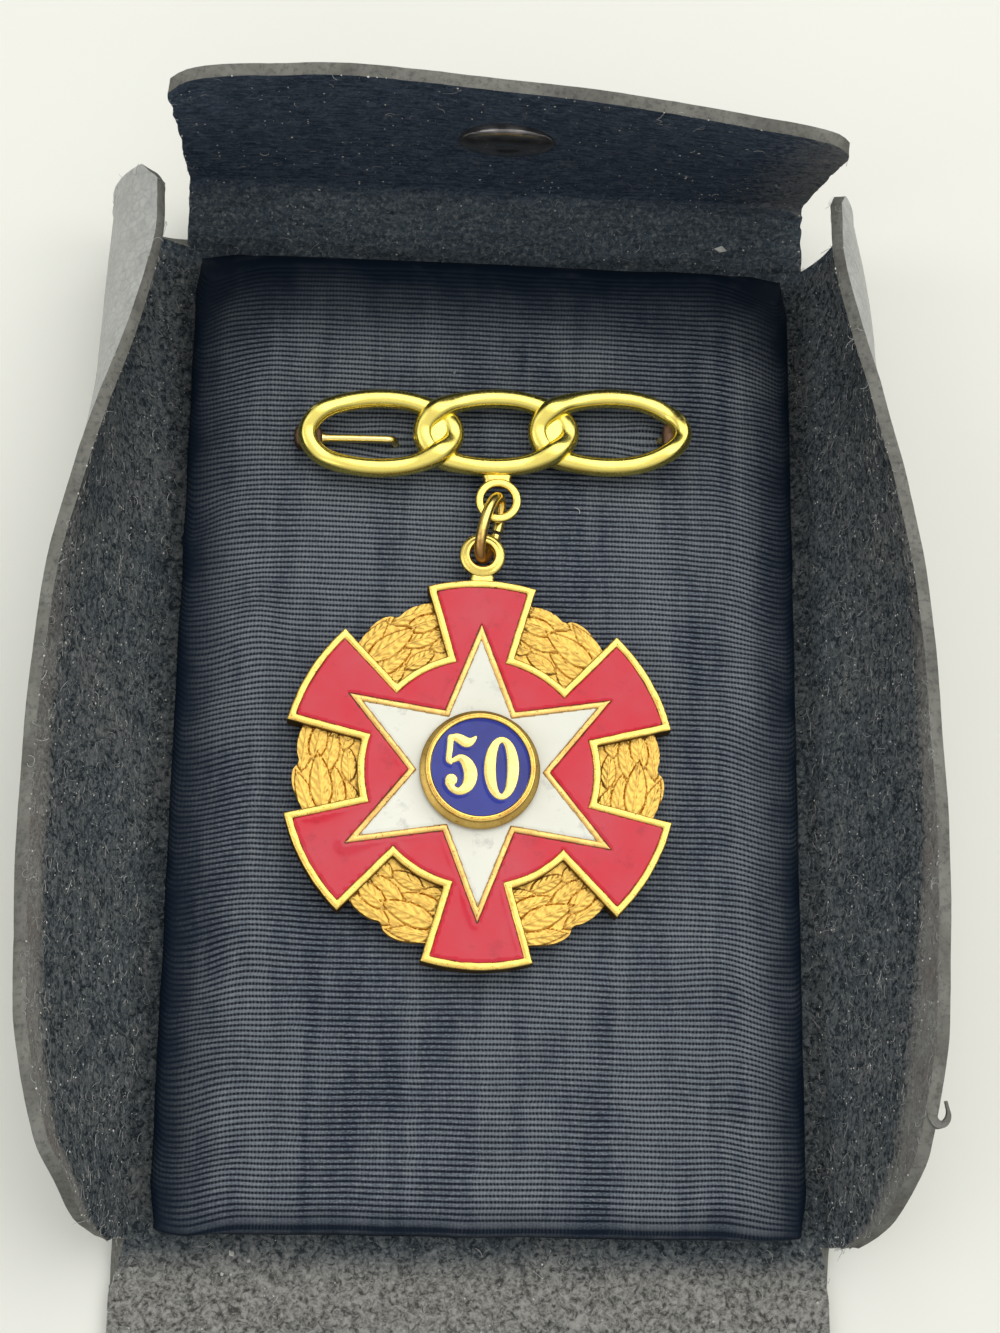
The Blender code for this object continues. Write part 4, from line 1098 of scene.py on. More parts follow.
    round_off = obj.modifiers.new("round", "BEVEL")
    round_off.width = 0.00028
    round_off.segments = 2
    round_off.limit_method = "ANGLE"
    round_off.angle_limit = math.radians(60)
    obj.data.materials.append(MAT["leather_inside"])
    obj.data.materials.append(MAT["leather_outside"])
    obj.data.materials.append(MAT["leather_edge"])
    apply(obj)
    sheet = [(vert.co.copy(), vert.normal.copy()) for vert in obj.data.vertices]
    dress(
        obj, [MAT["leather_inside"], MAT["leather_outside"], MAT["leather_edge"]],
        ["case_shell"], sharp=60,
    )
    return sheet


def fluff(sheet):
    """Curly fibres and pale specks on the flesh side, and three threads of lint on the pad."""
    dice = random.Random(11)
    seen = [
        (at, up) for at, up in sheet
        if up.z > -0.2 and (
            (at.y > -0.064 and abs(at.x) < BASE_HALF_WIDTH + 0.004 and at.y < -BASE_HALF_LENGTH)
            or (abs(at.x) > BASE_HALF_WIDTH and abs(up.x) > 0.3 and up.x * at.x < 0)
            or (at.y > BASE_HALF_LENGTH and up.y < -0.1)
        )
    ]

    def fibre(at, up, length, radius, points, faces):
        side = up.orthogonal().normalized()
        run = (Matrix.Rotation(dice.uniform(0, math.tau), 3, up) @ side).normalized()
        count = 6
        where = at + up * radius
        start = len(points)
        bend = dice.uniform(-1.1, 1.1)
        for k in range(count):
            across = up.cross(run).normalized()
            for n in range(3):
                turn = math.tau * n / 3
                points.append(where + (across * math.cos(turn) + up * math.sin(turn)) * radius)
            run = (Matrix.Rotation(bend * dice.uniform(0.3, 1.2), 3, up) @ run).normalized()
            rise = up * dice.uniform(-0.1, 0.25)
            where = where + (run + rise) * length / count
        for k in range(count - 1):
            for n in range(3):
                a, b = start + 3 * k + n, start + 3 * k + (n + 1) % 3
                faces.append((a, b, b + 3, a + 3))
        faces.append((start + 2, start + 1, start))
        last = start + 3 * (count - 1)
        faces.append((last, last + 1, last + 2))

    def speck(at, up, size, points, faces):
        start = len(points)
        turn = Matrix.Rotation(dice.uniform(0, math.tau), 3, up)
        side = turn @ up.orthogonal().normalized()
        across = up.cross(side)
        wide = dice.uniform(0.6, 1.4)
        for direction in (side * wide, across, -side * wide, -across, up * 0.8, -up * 0.3):
            points.append(at + direction * size * dice.uniform(0.8, 1.2))
        for a, b in ((0, 1), (1, 2), (2, 3), (3, 0)):
            faces.append((start + a, start + b, start + 4))
            faces.append((start + b, start + a, start + 5))

    points, faces = [], []
    matted = [item for item in seen if item[0].y < BASE_HALF_LENGTH + FOLD_RADIUS or dice.random() < 0.15]
    for at, up in dice.choices(matted, k=FIBRES):
        fibre(at, up, dice.uniform(0.0004, 0.0018), dice.uniform(0.000014, 0.000032), points, faces)
    points = [Vector((point.x, point.y, max(point.z, LEATHER / 4))) for point in points]
    obj = add_object("leather_fibres", points, faces)
    right_way_out(obj)
    dress(obj, MAT["fibre"])
    points, faces = [], []
    for at, up in dice.choices(seen, k=SPECKS):
        speck(at, up, dice.uniform(0.00004, 0.00012), points, faces)
    for target, size in BIG_SPECKS:
        at, up = min(sheet, key=lambda item: (item[0] - Vector(target)).length)
        speck(at, up, size, points, faces)
    obj = add_object("leather_specks", points, faces)
    dress(obj, MAT["speck"])
    edge = max((at for at, _ in sheet if abs(at.y - CURL_Y) < 0.0008), key=lambda at: at.x + at.z)
    centre = edge + Vector((CURL_RADIUS * 0.25, 0, -CURL_HALF * 0.7))
    route = [centre + Vector((-CURL_RADIUS, 0.0016 * (1 - k / 8), 0)) for k in range(8)]
    for k in range(25):
        turn = math.radians(180 + 195 * k / 24)
        route.append(centre + CURL_RADIUS * Vector((math.cos(turn), 1.25 * math.sin(turn), 0.006 * k)))
    route.append(route[-1] + Vector((-0.0002, 0.0008, 0.0001)))
    strip = [(CURL_THICK * side, CURL_HALF * end) for side, end in ((1, -1), (1, 1), (-1, 1), (-1, -1))]
    curl = sweep("torn_curl", route, strip, False, swell=lambda share: 1 - 0.75 * share**2)
    right_way_out(curl)
    dress(curl, MAT["leather_edge"])
    points, faces = [], []
    for x, y, length in ((0.0087, 0.0213, 0.0012), (0.0092, -0.0183, 0.0010), (-0.004, 0.036, 0.0006)):
        at = Vector((x, y, PAD_TOP + 0.00004))
        fibre(at, Vector((0, 0, 1)), length, 0.00003, points, faces)
    obj = add_object("pad_lint", points, faces)
    right_way_out(obj)
    dress(obj, MAT["speck"])


# The pad

def pad():
    """The ribbed cloth drawn over the pad: real ribs, wavy where the cloth is pulled, rolled edges, and
    painted shade towards the edges.
    """

    def rolled(half, cell):
        """(unrolled place, place, drop) from one edge over the top to the other."""
        arc = [k / 5 for k in range(1, 6)]
        side = []
        for share in arc:
            turn = share * math.pi / 2
            place = half - PAD_ROUND + PAD_ROUND * math.sin(turn)
            level = half - PAD_ROUND * (1 - share * math.pi / 2)
            side.append((level, place, PAD_ROUND * (1 - math.cos(turn))))
        for share in (0.33, 0.66, 1.0):
            fall = (PAD_WALL - PAD_ROUND) * share
            side.append((side[4][0] + fall, half, PAD_ROUND + fall))
        flat_half = half - PAD_ROUND
        count = round(2 * flat_half / cell)
        top = [(-flat_half + 2 * flat_half * k / count,) * 2 + (0.0,) for k in range(count + 1)]
        return [(-a, -b, c) for a, b, c in reversed(side)] + top + side

    across = rolled(PAD_WIDTH / 2, PAD_COLUMN)
    along = rolled(PAD_LENGTH / 2, RIB_PITCH / RIB_CUT)
    stem = bar_place() @ Vector((-STEM_START + 0.0075, 0, 0))
    out = bar_place() @ Vector((STEM_END - 0.0025, 0, 0))
    points, crest, edges = [], [], []
    for s, x, drop_x in across:
        for t, y, drop_y in along:
            share_x, share_y = 2 * x / PAD_WIDTH, 2 * y / PAD_LENGTH
            crown = PAD_CROWN * (1 - share_x * share_x) * (1 - share_y * share_y)
            drop = (drop_x**3 + drop_y**3) ** (1 / 3)
            phase = t / RIB_PITCH
            rib = abs(math.sin(math.pi * phase)) ** 0.6
            corner = ease(abs(share_x), 0.75, 1.0) * ease(abs(share_y), 0.55, 1.0)
            waves = 0.00022 * ripple(s, t, 0.013, 1.5) + 0.00006 * ripple(s, t, 0.003, 4.5)
            waves += 0.0010 * corner * (ripple(s, t, 0.007, 7.0) - 0.4 * share_y)
            waves += 0.00060 * ease(abs(share_x), 0.50, 0.95) * ripple(s, t, 0.006, 3.0)
            waves -= 0.0013 * ease(abs(share_x), 0.72, 1.0)
            swell = 0.00006 * ripple(s, t, 0.010, 2.5)
            left, right = PAD_WIDTH / 2 + x, PAD_WIDTH / 2 - x
            above, below = PAD_LENGTH / 2 - y, PAD_LENGTH / 2 + y
            # Painted shade: shade falls from 1 inside to 0 at each edge, where the rolled cloth turns from
            # the light, and reaches the material as its 'edge' attribute
            shade = ease(left, -0.0005, 0.0080) * ease(right, -0.0005, 0.0064)
            shade *= ease(above, 0.0010, 0.0125) * ease(below, -0.0012, 0.0036)
            swell -= 0.00045 * (1 - ease(min(left, right, above, below), 0.0, 0.0040))
            for centre, reach in ((stem, 0.0030), (out, 0.0024)):
                away = math.hypot(x - centre.x, y - centre.y)
                pull = math.exp(-((away / reach) ** 2))
                waves += 0.0005 * pull * math.copysign(1, y - centre.y) * min(abs(y - centre.y) / 0.001, 1)
                swell -= 0.00022 * pull
            lift = (RIB_RISE * (rib - 0.55)) * (1 - 0.3 * ripple(s, t, 0.004, 9.0))
            normal_out = min(drop / PAD_ROUND, 1.0)
            z = PAD_EDGE_TOP + crown - drop + (lift + swell) * (1 - normal_out)
            push = 1 + lift / (PAD_WIDTH / 2) * normal_out
            pull_x = PAD_CORNER * ease(abs(share_y), 0.90, 1.0) * share_x**6
            pull_x += EDGE_WAVE * ripple(t, 0, EDGE_WAVE_LENGTH, share_x)
            pull_y = PAD_CORNER * ease(abs(share_x), 0.86, 1.0) * share_y**6
            pull_y += EDGE_WAVE * ripple(s, 9, EDGE_WAVE_LENGTH, share_y)
            points.append((
                x * push - share_x**5 * abs(pull_x),
                (y + waves * (1 - normal_out)) * push - share_y**5 * abs(pull_y),
                max(z, PAD_BOTTOM),
            ))
            crest.append(rib)
            edges.append(shade)
    count = len(along)
    faces = []
    for i in range(len(across) - 1):
        for j in range(count - 1):
            faces.append((i * count + j, (i + 1) * count + j, (i + 1) * count + j + 1, i * count + j + 1))
    last = len(across) - 1
    ring = [i * count for i in range(last)] + [last * count + j for j in range(count - 1)]
    ring += [i * count + count - 1 for i in range(last, 0, -1)] + [j for j in range(count - 1, 0, -1)]
    faces.append(tuple(ring[::-1]))
    obj = add_object("ribbed_pad", points, faces, {"crest": crest, "edge": edges})
    dress(obj, MAT["ribbed_cloth"], ["pad"], sharp=70)


# The pendant

def pendant_place():
    return Matrix.Translation((PENDANT_X, PENDANT_Y, 0))


def arc_points(start, end, radius, steps):
    return [bearing(start + (end - start) * k / steps, radius) for k in range(steps + 1)]


def cross_outline(inset, steps=16):
    """The six arms and the notches between them, drawn in by this much all round."""
    outer, inner = PENDANT_RADIUS - inset, NOTCH_RADIUS - inset
    wide = ARM_HALF_ANGLE - math.degrees(math.asin(inset / outer))
    narrow = ARM_HALF_ANGLE - math.degrees(math.asin(inset / inner))
    gap = 180 / ARMS
    points = []
    for arm in range(ARMS):
        middle = arm * 360 / ARMS
        points += arc_points(middle - wide, middle + wide, outer, steps)
        points += arc_points(middle + narrow, middle + 2 * gap - narrow, inner, steps // 2)
    return points[::-1]


def star_outline(inset):
    """The six-pointed star drawn in by this much: its edges all lie equally far from the centre."""
    half = math.radians(180 / ARMS)
    chord = math.sqrt(STAR_TIP**2 + STAR_WAIST**2 - 2 * STAR_TIP * STAR_WAIST * math.cos(half))
    scale = 1 - inset * chord / (STAR_TIP * STAR_WAIST * math.sin(half))
    points = []
    for arm in range(ARMS):
        middle = arm * 360 / ARMS
        points += [bearing(middle, STAR_TIP * scale), bearing(middle + 180 / ARMS, STAR_WAIST * scale)]
    return points[::-1]


def finely(outline, counts):
    points = []
    for (a, b), count in zip(zip(outline, outline[1:] + outline[:1]), counts):
        points += [Vector(a).lerp(Vector(b), k / count) for k in range(count)]
    return points


def rim_band(name, outline, width, low, floor, top, rough, seed):
    """A rim lofted across its own width, with soft shoulders and a hand-filed surface."""
    first = outline(0.0)
    counts = [max(1, round(math.dist(a, b) / RIM_CELL)) for a, b in zip(first, first[1:] + first[:1])]
    shoulder = width * 0.26
    profile = [
        (0.0, low), (0.0, (low + top) / 2), (0.0, top - shoulder), (shoulder * 0.12, top - shoulder * 0.45),
        (shoulder * 0.5, top - shoulder * 0.12), (shoulder * 1.1, top), (width / 2, top + shoulder * 0.08),
        (width - shoulder * 1.1, top), (width - shoulder * 0.5, top - shoulder * 0.12),
        (width - shoulder * 0.12, top - shoulder * 0.45), (width, top - shoulder), (width, floor),
        (width, low),
    ]
    loops = []
    for inset, level in profile:
        loop = []
        for point in finely(outline(inset), counts):
            x, y = point
            high = ease(level, floor, top)
            jog = Vector((ripple(x, y, 0.0012, seed), ripple(x, y, 0.0012, seed + 9))) * rough * high
            pit = max(ripple(x, y, 0.00045, seed + 4) - 0.25, 0) * rough * 2.4 * high
            wave = ripple(x, y, 0.002, seed + 2) * rough * 0.8 * high
            loop.append(Vector((x + jog.x + PENDANT_X, y + jog.y + PENDANT_Y, level - pit + wave)))
        loops.append(loop)
    return loft(name, loops, closed=True)


def leaf_rows(gap):
    """Leaves of one gap in the pendant's own plane, lowest first: start, end, half width, height."""
    side = -1 if gap > 180 else 1
    made = []
    for stem, stem_radius, tip, tip_radius, width, height in LEAVES:
        start = np.array(bearing(gap - side * stem, stem_radius * PENDANT_RADIUS))
        end = np.array(bearing(gap - side * tip, tip_radius * PENDANT_RADIUS))
        made.append((start, end, width * PENDANT_RADIUS / 2, height))
    return made


def wreath_height(gap):
    """The sculpted leaves of one gap as a height over the plane."""
    leaves = leaf_rows(gap)

    def height(points, _):
        mottle = np.array([noise.noise(Vector((x * 1700, y * 1700, 8.0))) for x, y in points])
        ground = WREATH_TOP + GROUND_LEVEL + 0.00006 * mottle
        for n, (start, end, half, rise) in enumerate(leaves):
            run = end - start
            length = math.hypot(*run)
            run = run / length
            off = points - start
            u = (off @ run) / length
            v = off @ np.array((-run[1], run[0]))
            inner = np.clip(u, 0.0, 1.0)
            swell = np.sin(np.pi * inner**LEAF_SKEW) ** LEAF_FULLNESS
            edge = np.abs(v) / np.maximum(half * swell, 1e-6)
            within = (u > 0) & (u < 1) & (edge < 1)
            dome = np.sqrt(np.clip(1 - edge**2, 0, 1))
            rib = np.exp(-((v / (half * 0.10)) ** 2)) * 0.12
            veins = 0.10 * np.sin(2 * np.pi * (u * 5.2 - np.abs(v) / half * 1.5)) * edge * (1 - edge**4)
            lip = 0.07 * np.exp(-(((edge - 0.84) / 0.10) ** 2))
            wobble = np.array([
                noise.noise(Vector((x * 2300, y * 2300, n * 3.7))) if ok else 0.0
                for (x, y), ok in zip(points, within)
            ])
            shape = 0.14 * rise + 0.24 * dome * (0.7 + 0.3 * np.sin(np.pi * inner)) + rib + veins + lip
            z = WREATH_TOP + GROUND_LEVEL * 0.9 + LEAF_RISE * (shape + 0.12 * wobble)
            round_it = (u > -0.04) & (u < 1.04) & (edge < 1 + LEAF_GROOVE / np.maximum(half * swell, 1e-6))
            ground = np.where(within, z, np.where(round_it, WREATH_TOP + GROOVE_LEVEL, ground))
        return ground

    return height


def wreath():
    for gap in range(ARMS):
        middle = (gap + 0.5) * 360 / ARMS
        side = -1 if middle < 180 else 1
        edge = [
            (middle + side * turn, WREATH_RADIUS * (1 + read_row(WREATH_EDGE, turn)[0]))
            for turn in np.linspace(WREATH_EDGE[0][0], WREATH_EDGE[-1][0] - 1e-6, 64)
        ]
        edge = sorted(edge)
        outline = [bearing(turn, radius) for turn, radius in edge]
        outline += arc_points(edge[-1][0], edge[0][0], NOTCH_RADIUS - RIM / 2, 24)
        piece = relief(
            f"wreath_{gap + 1}", outline[::-1], [], WREATH_CELL,
            wreath_height(middle), PENDANT_BACK + SEAT_GAP, pendant_place(),
        )
        dress(piece, MAT["gilt_matte"], sharp=75)


def glaze(top, dip, seed):
    """An enamel's height: dished by the dip, a little wavy, with a groove against the metal."""

    def height(points, away):
        waves = np.array([noise.noise(Vector((x * 260, y * 260, seed))) for x, y in points])
        groove = ENAMEL_GROOVE * np.exp(-away / GROOVE_WIDTH)
        return top - dip * (1 - np.exp(-away / ENAMEL_SHOULDER)) + ENAMEL_WAVE * waves - groove

    return height


def pendant():
    place = pendant_place()
    foot, top = ENAMEL_FLOOR - 0.0002, PENDANT_FRONT - ENAMEL_SINK / 2
    rim = rim_band("cross_rim", cross_outline, RIM, PENDANT_BACK, foot, PENDANT_FRONT, 0.00004, 3.0)
    dress(rim, MAT["gilt_rim"], ["pendant_body"], sharp=70)
    back = PENDANT_BACK + SEAT_GAP
    star = rim_band("star_rim", star_outline, STAR_RIM, back, foot, top, 0.00003, 23.0)
    dress(star, MAT["gilt_star"], sharp=70)

    plate = relief(
        "cross_back", cross_outline(RIM * 0.5), [], 0.0010,
        lambda points, _: np.full(len(points), ENAMEL_FLOOR), PENDANT_BACK + 0.00002, place,
    )
    dress(plate, MAT["gilt_dull"])

    wreath()

    bed = ENAMEL_FLOOR + CELL_GAP
    red = relief(
        "red_enamel", cross_outline(RIM - RED_LAP), [star_outline(STAR_LAP)],
        ENAMEL_CELL, glaze(top, RED_DIP, 1.0), bed, place,
    )
    dress(red, MAT["red_enamel"], ["enamel_red"])
    hole = [bearing(-turn, RIVET_RADIUS + 0.0001) for turn in range(0, 360, 10)]
    white = relief(
        "white_enamel", star_outline(STAR_RIM - WHITE_LAP), [hole],
        ENAMEL_CELL, glaze(top, WHITE_DIP, 5.0), bed, place,
    )
    dress(white, MAT["white_enamel"], ["enamel_white"])

    tall = 0.00042
    section = (
        (-1.00, -1.00), (-1.00, 0.00), (-0.90, 0.75), (-0.60, 1.00), (-0.20, 0.96), (0.10, 0.70),
        (0.35, 0.62), (0.80, 0.50), (1.00, 0.10), (0.94, -0.80), (0.70, -1.00),
    )
    steps = [(BAIL_RADIUS + BAIL_WIRE * out, tall * up) for out, up in section]
    centre = bail_centre()
    loops = []
    for k in range(72):
        turn = math.tau * k / 72
        across, over = math.cos(turn), math.sin(turn)
        loops.append([centre + Vector((out * across, out * over, up)) for out, up in steps])
    bail = loft("bail", loops, closed=True)
    dress(bail, MAT["gilt"], sharp=50)
    foot = PENDANT_RADIUS - RIM * 0.6
    head = PENDANT_RADIUS + BAIL_RISE - BAIL_RADIUS
    outline = [
        (-RIM * 2.2, foot), (RIM * 2.2, foot), (RIM * 1.6, (foot * 2 + head) / 3), (RIM * 1.4, head),
        (-RIM * 1.4, head), (-RIM * 1.6, (foot * 2 + head) / 3),
    ]
    neck = relief(
        "bail_neck", outline, [], FITTING_CELL,
        soft_top(EYE_LEVEL + 0.00012, 0.0002, 0.00015), EYE_LEVEL - BAIL_WIRE * 0.8, place,
    )
    dress(neck, MAT["gilt"], sharp=50)


def stroke_distance(points, rows):
    """How far the points lie outside a stroke whose half width changes along its line."""
    count = len(rows) - 1
    table = [(k / count, *row) for k, row in enumerate(rows)]
    samples = np.array([read_row(table, min(k / (8 * count), 1.0)) for k in range(8 * count + 1)])
    best = np.full(len(points), 1.0)
    for (ax, ay, aw), (bx, by, bw) in zip(samples, samples[1:]):
        run = np.array((bx - ax, by - ay)) * DIGIT_HEIGHT
        start = np.array((ax, ay)) * DIGIT_HEIGHT
        share = np.clip(((points - start) @ run) / (run @ run), 0, 1)
        width = (aw + (bw - aw) * share) * DIGIT_HEIGHT
        best = np.minimum(best, np.hypot(*(points - start - share[:, None] * run).T) - width)
    return best


def oval_distance(points, shape):
    across, up, half_width, half_height = (value * DIGIT_HEIGHT for value in shape)
    share = np.hypot((points[:, 0] - across) / half_width, (points[:, 1] - up) / half_height)
    return (share - 1) * (half_width + (half_height - half_width) * 0.3)


def digit_distance(points):
    """How far the points lie outside the two digits."""
    across, up, radius = (value * DIGIT_HEIGHT for value in FIVE_BALL)
    ball = np.hypot(points[:, 0] - across, points[:, 1] - up) - radius
    best = np.minimum.reduce([stroke_distance(points, rows) for rows in (FIVE_FLAG, FIVE_STEM, FIVE_BOWL)])
    ring = np.maximum(oval_distance(points, NOUGHT), -oval_distance(points, NOUGHT_COUNTER))
    return np.minimum(np.minimum(best, ball), ring)


def medallion():
    base = PENDANT_FRONT + CELL_GAP
    top = base + MEDALLION_HEIGHT
    floor = top - MEDALLION_FLOOR
    field = MEDALLION_TOP_RADIUS - MEDALLION_RIM
    rise = MEDALLION_HEIGHT
    profile = [(0, floor - 0.0001), (field, floor - 0.0001)]
    profile += [(field + MEDALLION_RIM * out, top - MEDALLION_RIM * down) for out, down in CUP_RIM]
    profile += [
        (MEDALLION_TOP_RADIUS, base + rise * 0.62), (MEDALLION_TOP_RADIUS - 0.00006, base + rise * 0.56),
        (MEDALLION_TOP_RADIUS - 0.00004, base + rise * 0.48),
        (MEDALLION_TOP_RADIUS + 0.00012, base + rise * 0.40),
        (MEDALLION_RADIUS - 0.00016, base + rise * 0.34), (MEDALLION_RADIUS - 0.00002, base + rise * 0.27),
        (MEDALLION_RADIUS, base + rise * 0.18), (MEDALLION_RADIUS - 0.00002, base + rise * 0.06),
        (MEDALLION_RADIUS - 0.0001, base), (RIVET_RADIUS, base), (RIVET_RADIUS, ENAMEL_FLOOR + CELL_GAP),
        (0, ENAMEL_FLOOR + CELL_GAP),
    ]
    cup = turned("medallion_cup", profile, 96, pendant_place())
    dress(cup, MAT["gilt_cup"], ["medallion"], sharp=40)

    face = top - ENAMEL_SINK
    disc = [bearing(-turn, field - 0.00002) for turn in range(0, 360, 4)]

    def digit_height(points, _):
        out = digit_distance(points)
        share = np.clip(-out / 0.00009 + 0.5, 0, 1)
        step = share * share * (3 - 2 * share)
        bulge = 0.00006 * np.clip(-out / 0.0004, 0, 1)
        rough = np.array([noise.noise(Vector((x * 1500, y * 1500, 2.0))) for x, y in points])
        return floor - 0.00008 + (face - floor + 0.00004) * step + bulge + 0.00001 * rough

    digits = relief("digits", disc, [], DIGIT_CELL, digit_height, floor - 0.00012, pendant_place())
    dress(digits, MAT["gilt_digit"], sharp=80)

    def blue_height(points, away):
        out = np.minimum(np.abs(digit_distance(points)), away)
        return face - 0.00012 + 0.00005 * np.exp(-out / 0.00018)

    blue = relief("blue_enamel", disc, [], BLUE_CELL, blue_height, floor, pendant_place())
    dress(blue, MAT["blue_enamel"], ["enamel_blue", "enamel_blue_counter"], sharp=80)


# The bar

def bail_centre():
    return Vector((PENDANT_X, PENDANT_Y + PENDANT_RADIUS + BAIL_RISE, EYE_LEVEL))


def ring_direction():
    turn = math.radians(RING_TURN)
    return Vector((math.sin(turn), math.cos(turn), 0))


def eye_centre():
    return bail_centre() + 2 * (RING_LONG - RING_PLAY) * ring_direction()


def bar_place():
    """The bar's frame: its middle, turned a little, on the level of the wire's centre."""
    turn = Matrix.Rotation(math.radians(BAR_TURN), 4, "Z")
    middle = eye_centre() + turn @ Vector((0, EYE_DROP, 0))
    middle.z = BAR_LEVEL
    return Matrix.Translation(middle) @ turn


def link_route(number, count=180):
    """A link's centre line. It rises over its neighbour at one crossing and dips under it at the other."""
    long, wide = LINK_LENGTH / 2 - LINK_WIRE, LINK_WIDTH / 2 - LINK_WIRE
    middle = (number - (LINK_COUNT - 1) / 2) * LINK_PITCH
    cross = math.acos(LINK_PITCH / (2 * long))
    points = []
    for k in range(count):
        turn = math.tau * (k + 0.5) / count
        rise = 0.0
        for at, over in ((cross, -1), (-cross, 1), (math.pi - cross, 1), (math.pi + cross, -1)):
            away = math.remainder(turn - at, math.tau)
            rise += over * math.exp(-((away / (cross * 0.55)) ** 2))
        points.append(Vector((middle + long * math.cos(turn), wide * math.sin(turn), LINK_CROSS * rise)))
    return points


def stem_route(count=80):
    level = PAD_TOP + STEM_LIFT - BAR_LEVEL
    points = []
    for k in range(count + 1):
        share = k / count
        dip = read_row(STEM_ROWS, min(share, 1.0 - 1e-9))[0]
        sway = -STEM_SWAY * min(share / STEM_ROWS[2][0], 1.0) * (1 - ease(share, 0.3, 0.7))
        points.append(Vector(((STEM_START + STEM_END) * share - STEM_START, sway, level - STEM_DIP * dip)))
    return points


def bar():
    place = bar_place()
    section = round_section(LINK_WIRE, 36, flat=0.86, press=0.6)
    crossings = [(number + 0.5 - (LINK_COUNT - 1) / 2) * LINK_PITCH for number in range(LINK_COUNT - 1)]
    for number in range(LINK_COUNT):
        route = link_route(number)

        def crook(share):
            """The wire swells where two links hook into each other."""
            here = route[round(share * (len(route) - 1))].x
            near = min(abs(here - crossing) for crossing in crossings)
            return 1.0 + CROOK_SWELL * math.exp(-((near / 0.0016) ** 2))

        link = sweep(f"link_{number + 1}", route, section, True, place=place, swell=crook)
        dress(link, MAT["gilt_link"], ["link_bar"] if number == 0 else (), sharp=60)
    for number, middle in enumerate(crossings):
        points = [bearing(-angle, 1.0) for angle in range(0, 360, 15)]
        outline = [(middle + x * SOLDER_SIZE[0], y * SOLDER_SIZE[1]) for x, y in points]
        fill = relief(
            f"solder_{number + 1}", outline, [], SOLDER_CELL,
            soft_top(LINK_WIRE * 0.50 + 0.00025, 0.00025, 0.0004), -LINK_WIRE * 0.4, place,
        )
        dress(fill, MAT["gilt_link"], sharp=60)
    centre = eye_centre()
    turn = [math.tau * k / 64 for k in range(64)]
    route = [centre + Vector((EYE_RADIUS * math.cos(a), EYE_RADIUS * math.sin(a), 0)) for a in turn]
    eye = sweep("bar_eye", route, round_section(EYE_WIRE, 24, flat=0.6), True)
    dress(eye, MAT["gilt"], sharp=60)
    high = -LINK_WIDTH / 2 + LINK_WIRE
    low = -EYE_DROP + EYE_RADIUS - EYE_WIRE / 4
    middle = (high + low) / 2
    outline = [
        (-LINK_WIRE * 2.1, high), (-LINK_WIRE * 1.5, middle), (-LINK_WIRE * 1.35, low),
        (LINK_WIRE * 1.35, low), (LINK_WIRE * 1.5, middle), (LINK_WIRE * 2.1, high),
    ]
    neck = relief(
        "eye_neck", outline, [], FITTING_CELL,
        soft_top(EYE_WIRE * 0.75, 0.0003, 0.0002), -EYE_WIRE * 0.9, place,
    )
    dress(neck, MAT["gilt"], sharp=50)

    bottom = PAD_TOP + FITTING_BACK - BAR_LEVEL
    head = -LINK_WIRE * 0.35
    for name, at, size in (("joint", -JOINT_AT, JOINT_SIZE), ("catch", CATCH_AT, CATCH_SIZE)):
        half_x, half_y = size[0] / 2, size[1] / 2
        outline = []
        for angle in range(0, 360, 12):
            across, over = math.cos(math.radians(angle)), math.sin(math.radians(angle))
            across, over = math.copysign(abs(across) ** 0.7, across), math.copysign(abs(over) ** 0.7, over)
            outline.append((at + half_x * across, half_y * over))
        block = relief(name, outline, [], FITTING_CELL, soft_top(head, 0.00025, 0.00018), bottom, place)
        dress(block, MAT["copper"], sharp=50)

    def taper(share):
        return 1.0 + 0.8 * (1 - ease(share, 0.008, 0.034))

    stem = sweep("stem", stem_route(), round_section(STEM_RADIUS, 16), False, place=place, swell=taper)
    dress(stem, MAT["gilt_bright"], ["pin_stem"], sharp=60)


def jump_ring():
    along = ring_direction()
    tilt = math.radians(RING_TILT)
    side = Vector((along.y, -along.x, 0)) * math.cos(tilt) - Vector((0, 0, 1)) * math.sin(tilt)
    middle = (bail_centre() + eye_centre()) / 2
    cut = RING_CUT / RING_LONG
    count = 96
    points = []
    for k in range(count + 1):
        turn = cut + (math.tau - 2 * cut) * k / count
        points.append(middle + along * RING_LONG * math.sin(turn) + side * RING_WIDE * math.cos(turn))
    up = along.cross(side)
    ring = sweep("ring", points, round_section(RING_WIRE, 20), False, up=up)
    reach = [((vert.co - middle) @ along) / RING_LONG for vert in ring.data.vertices]
    brown = ring.data.attributes.new("brown", "FLOAT", "POINT")
    brown.data.foreach_set("value", [0.30 - 0.6 * value for value in reach])
    dress(ring, MAT["ring_gold"], ["jump_ring"], sharp=60)


def press_stud():
    skin = LEATHER / 2
    turn_over = Matrix.Rotation(math.pi, 4, "X")
    leaned = Matrix.Rotation(math.radians(SNAP_LEAN), 4, "X")
    dish = scaled(SOCKET_PROFILE, SNAP_RADIUS, SNAP_HEIGHT)
    dome = scaled(CAP_PROFILE, CAP_RADIUS, CAP_HEIGHT)
    post = scaled(POST_PROFILE, STUD_RADIUS, STUD_HEIGHT)
    for name, node, profile, place in (
        ("socket", "snap_socket", dish, snap_place(skin - SNAP_SINK) @ leaned),
        ("socket_cap", "snap_cap", dome, snap_place(-skin - SEAT_GAP) @ turn_over),
        ("post_cap", "stud_cap", dome, cover_place(skin + CELL_GAP)),
        ("post", "snap_stud", post, cover_place(-skin - CELL_GAP) @ turn_over),
    ):
        dress(turned(name, profile, 72, place), MAT["dark_metal"], [node], sharp=50)


# Stage

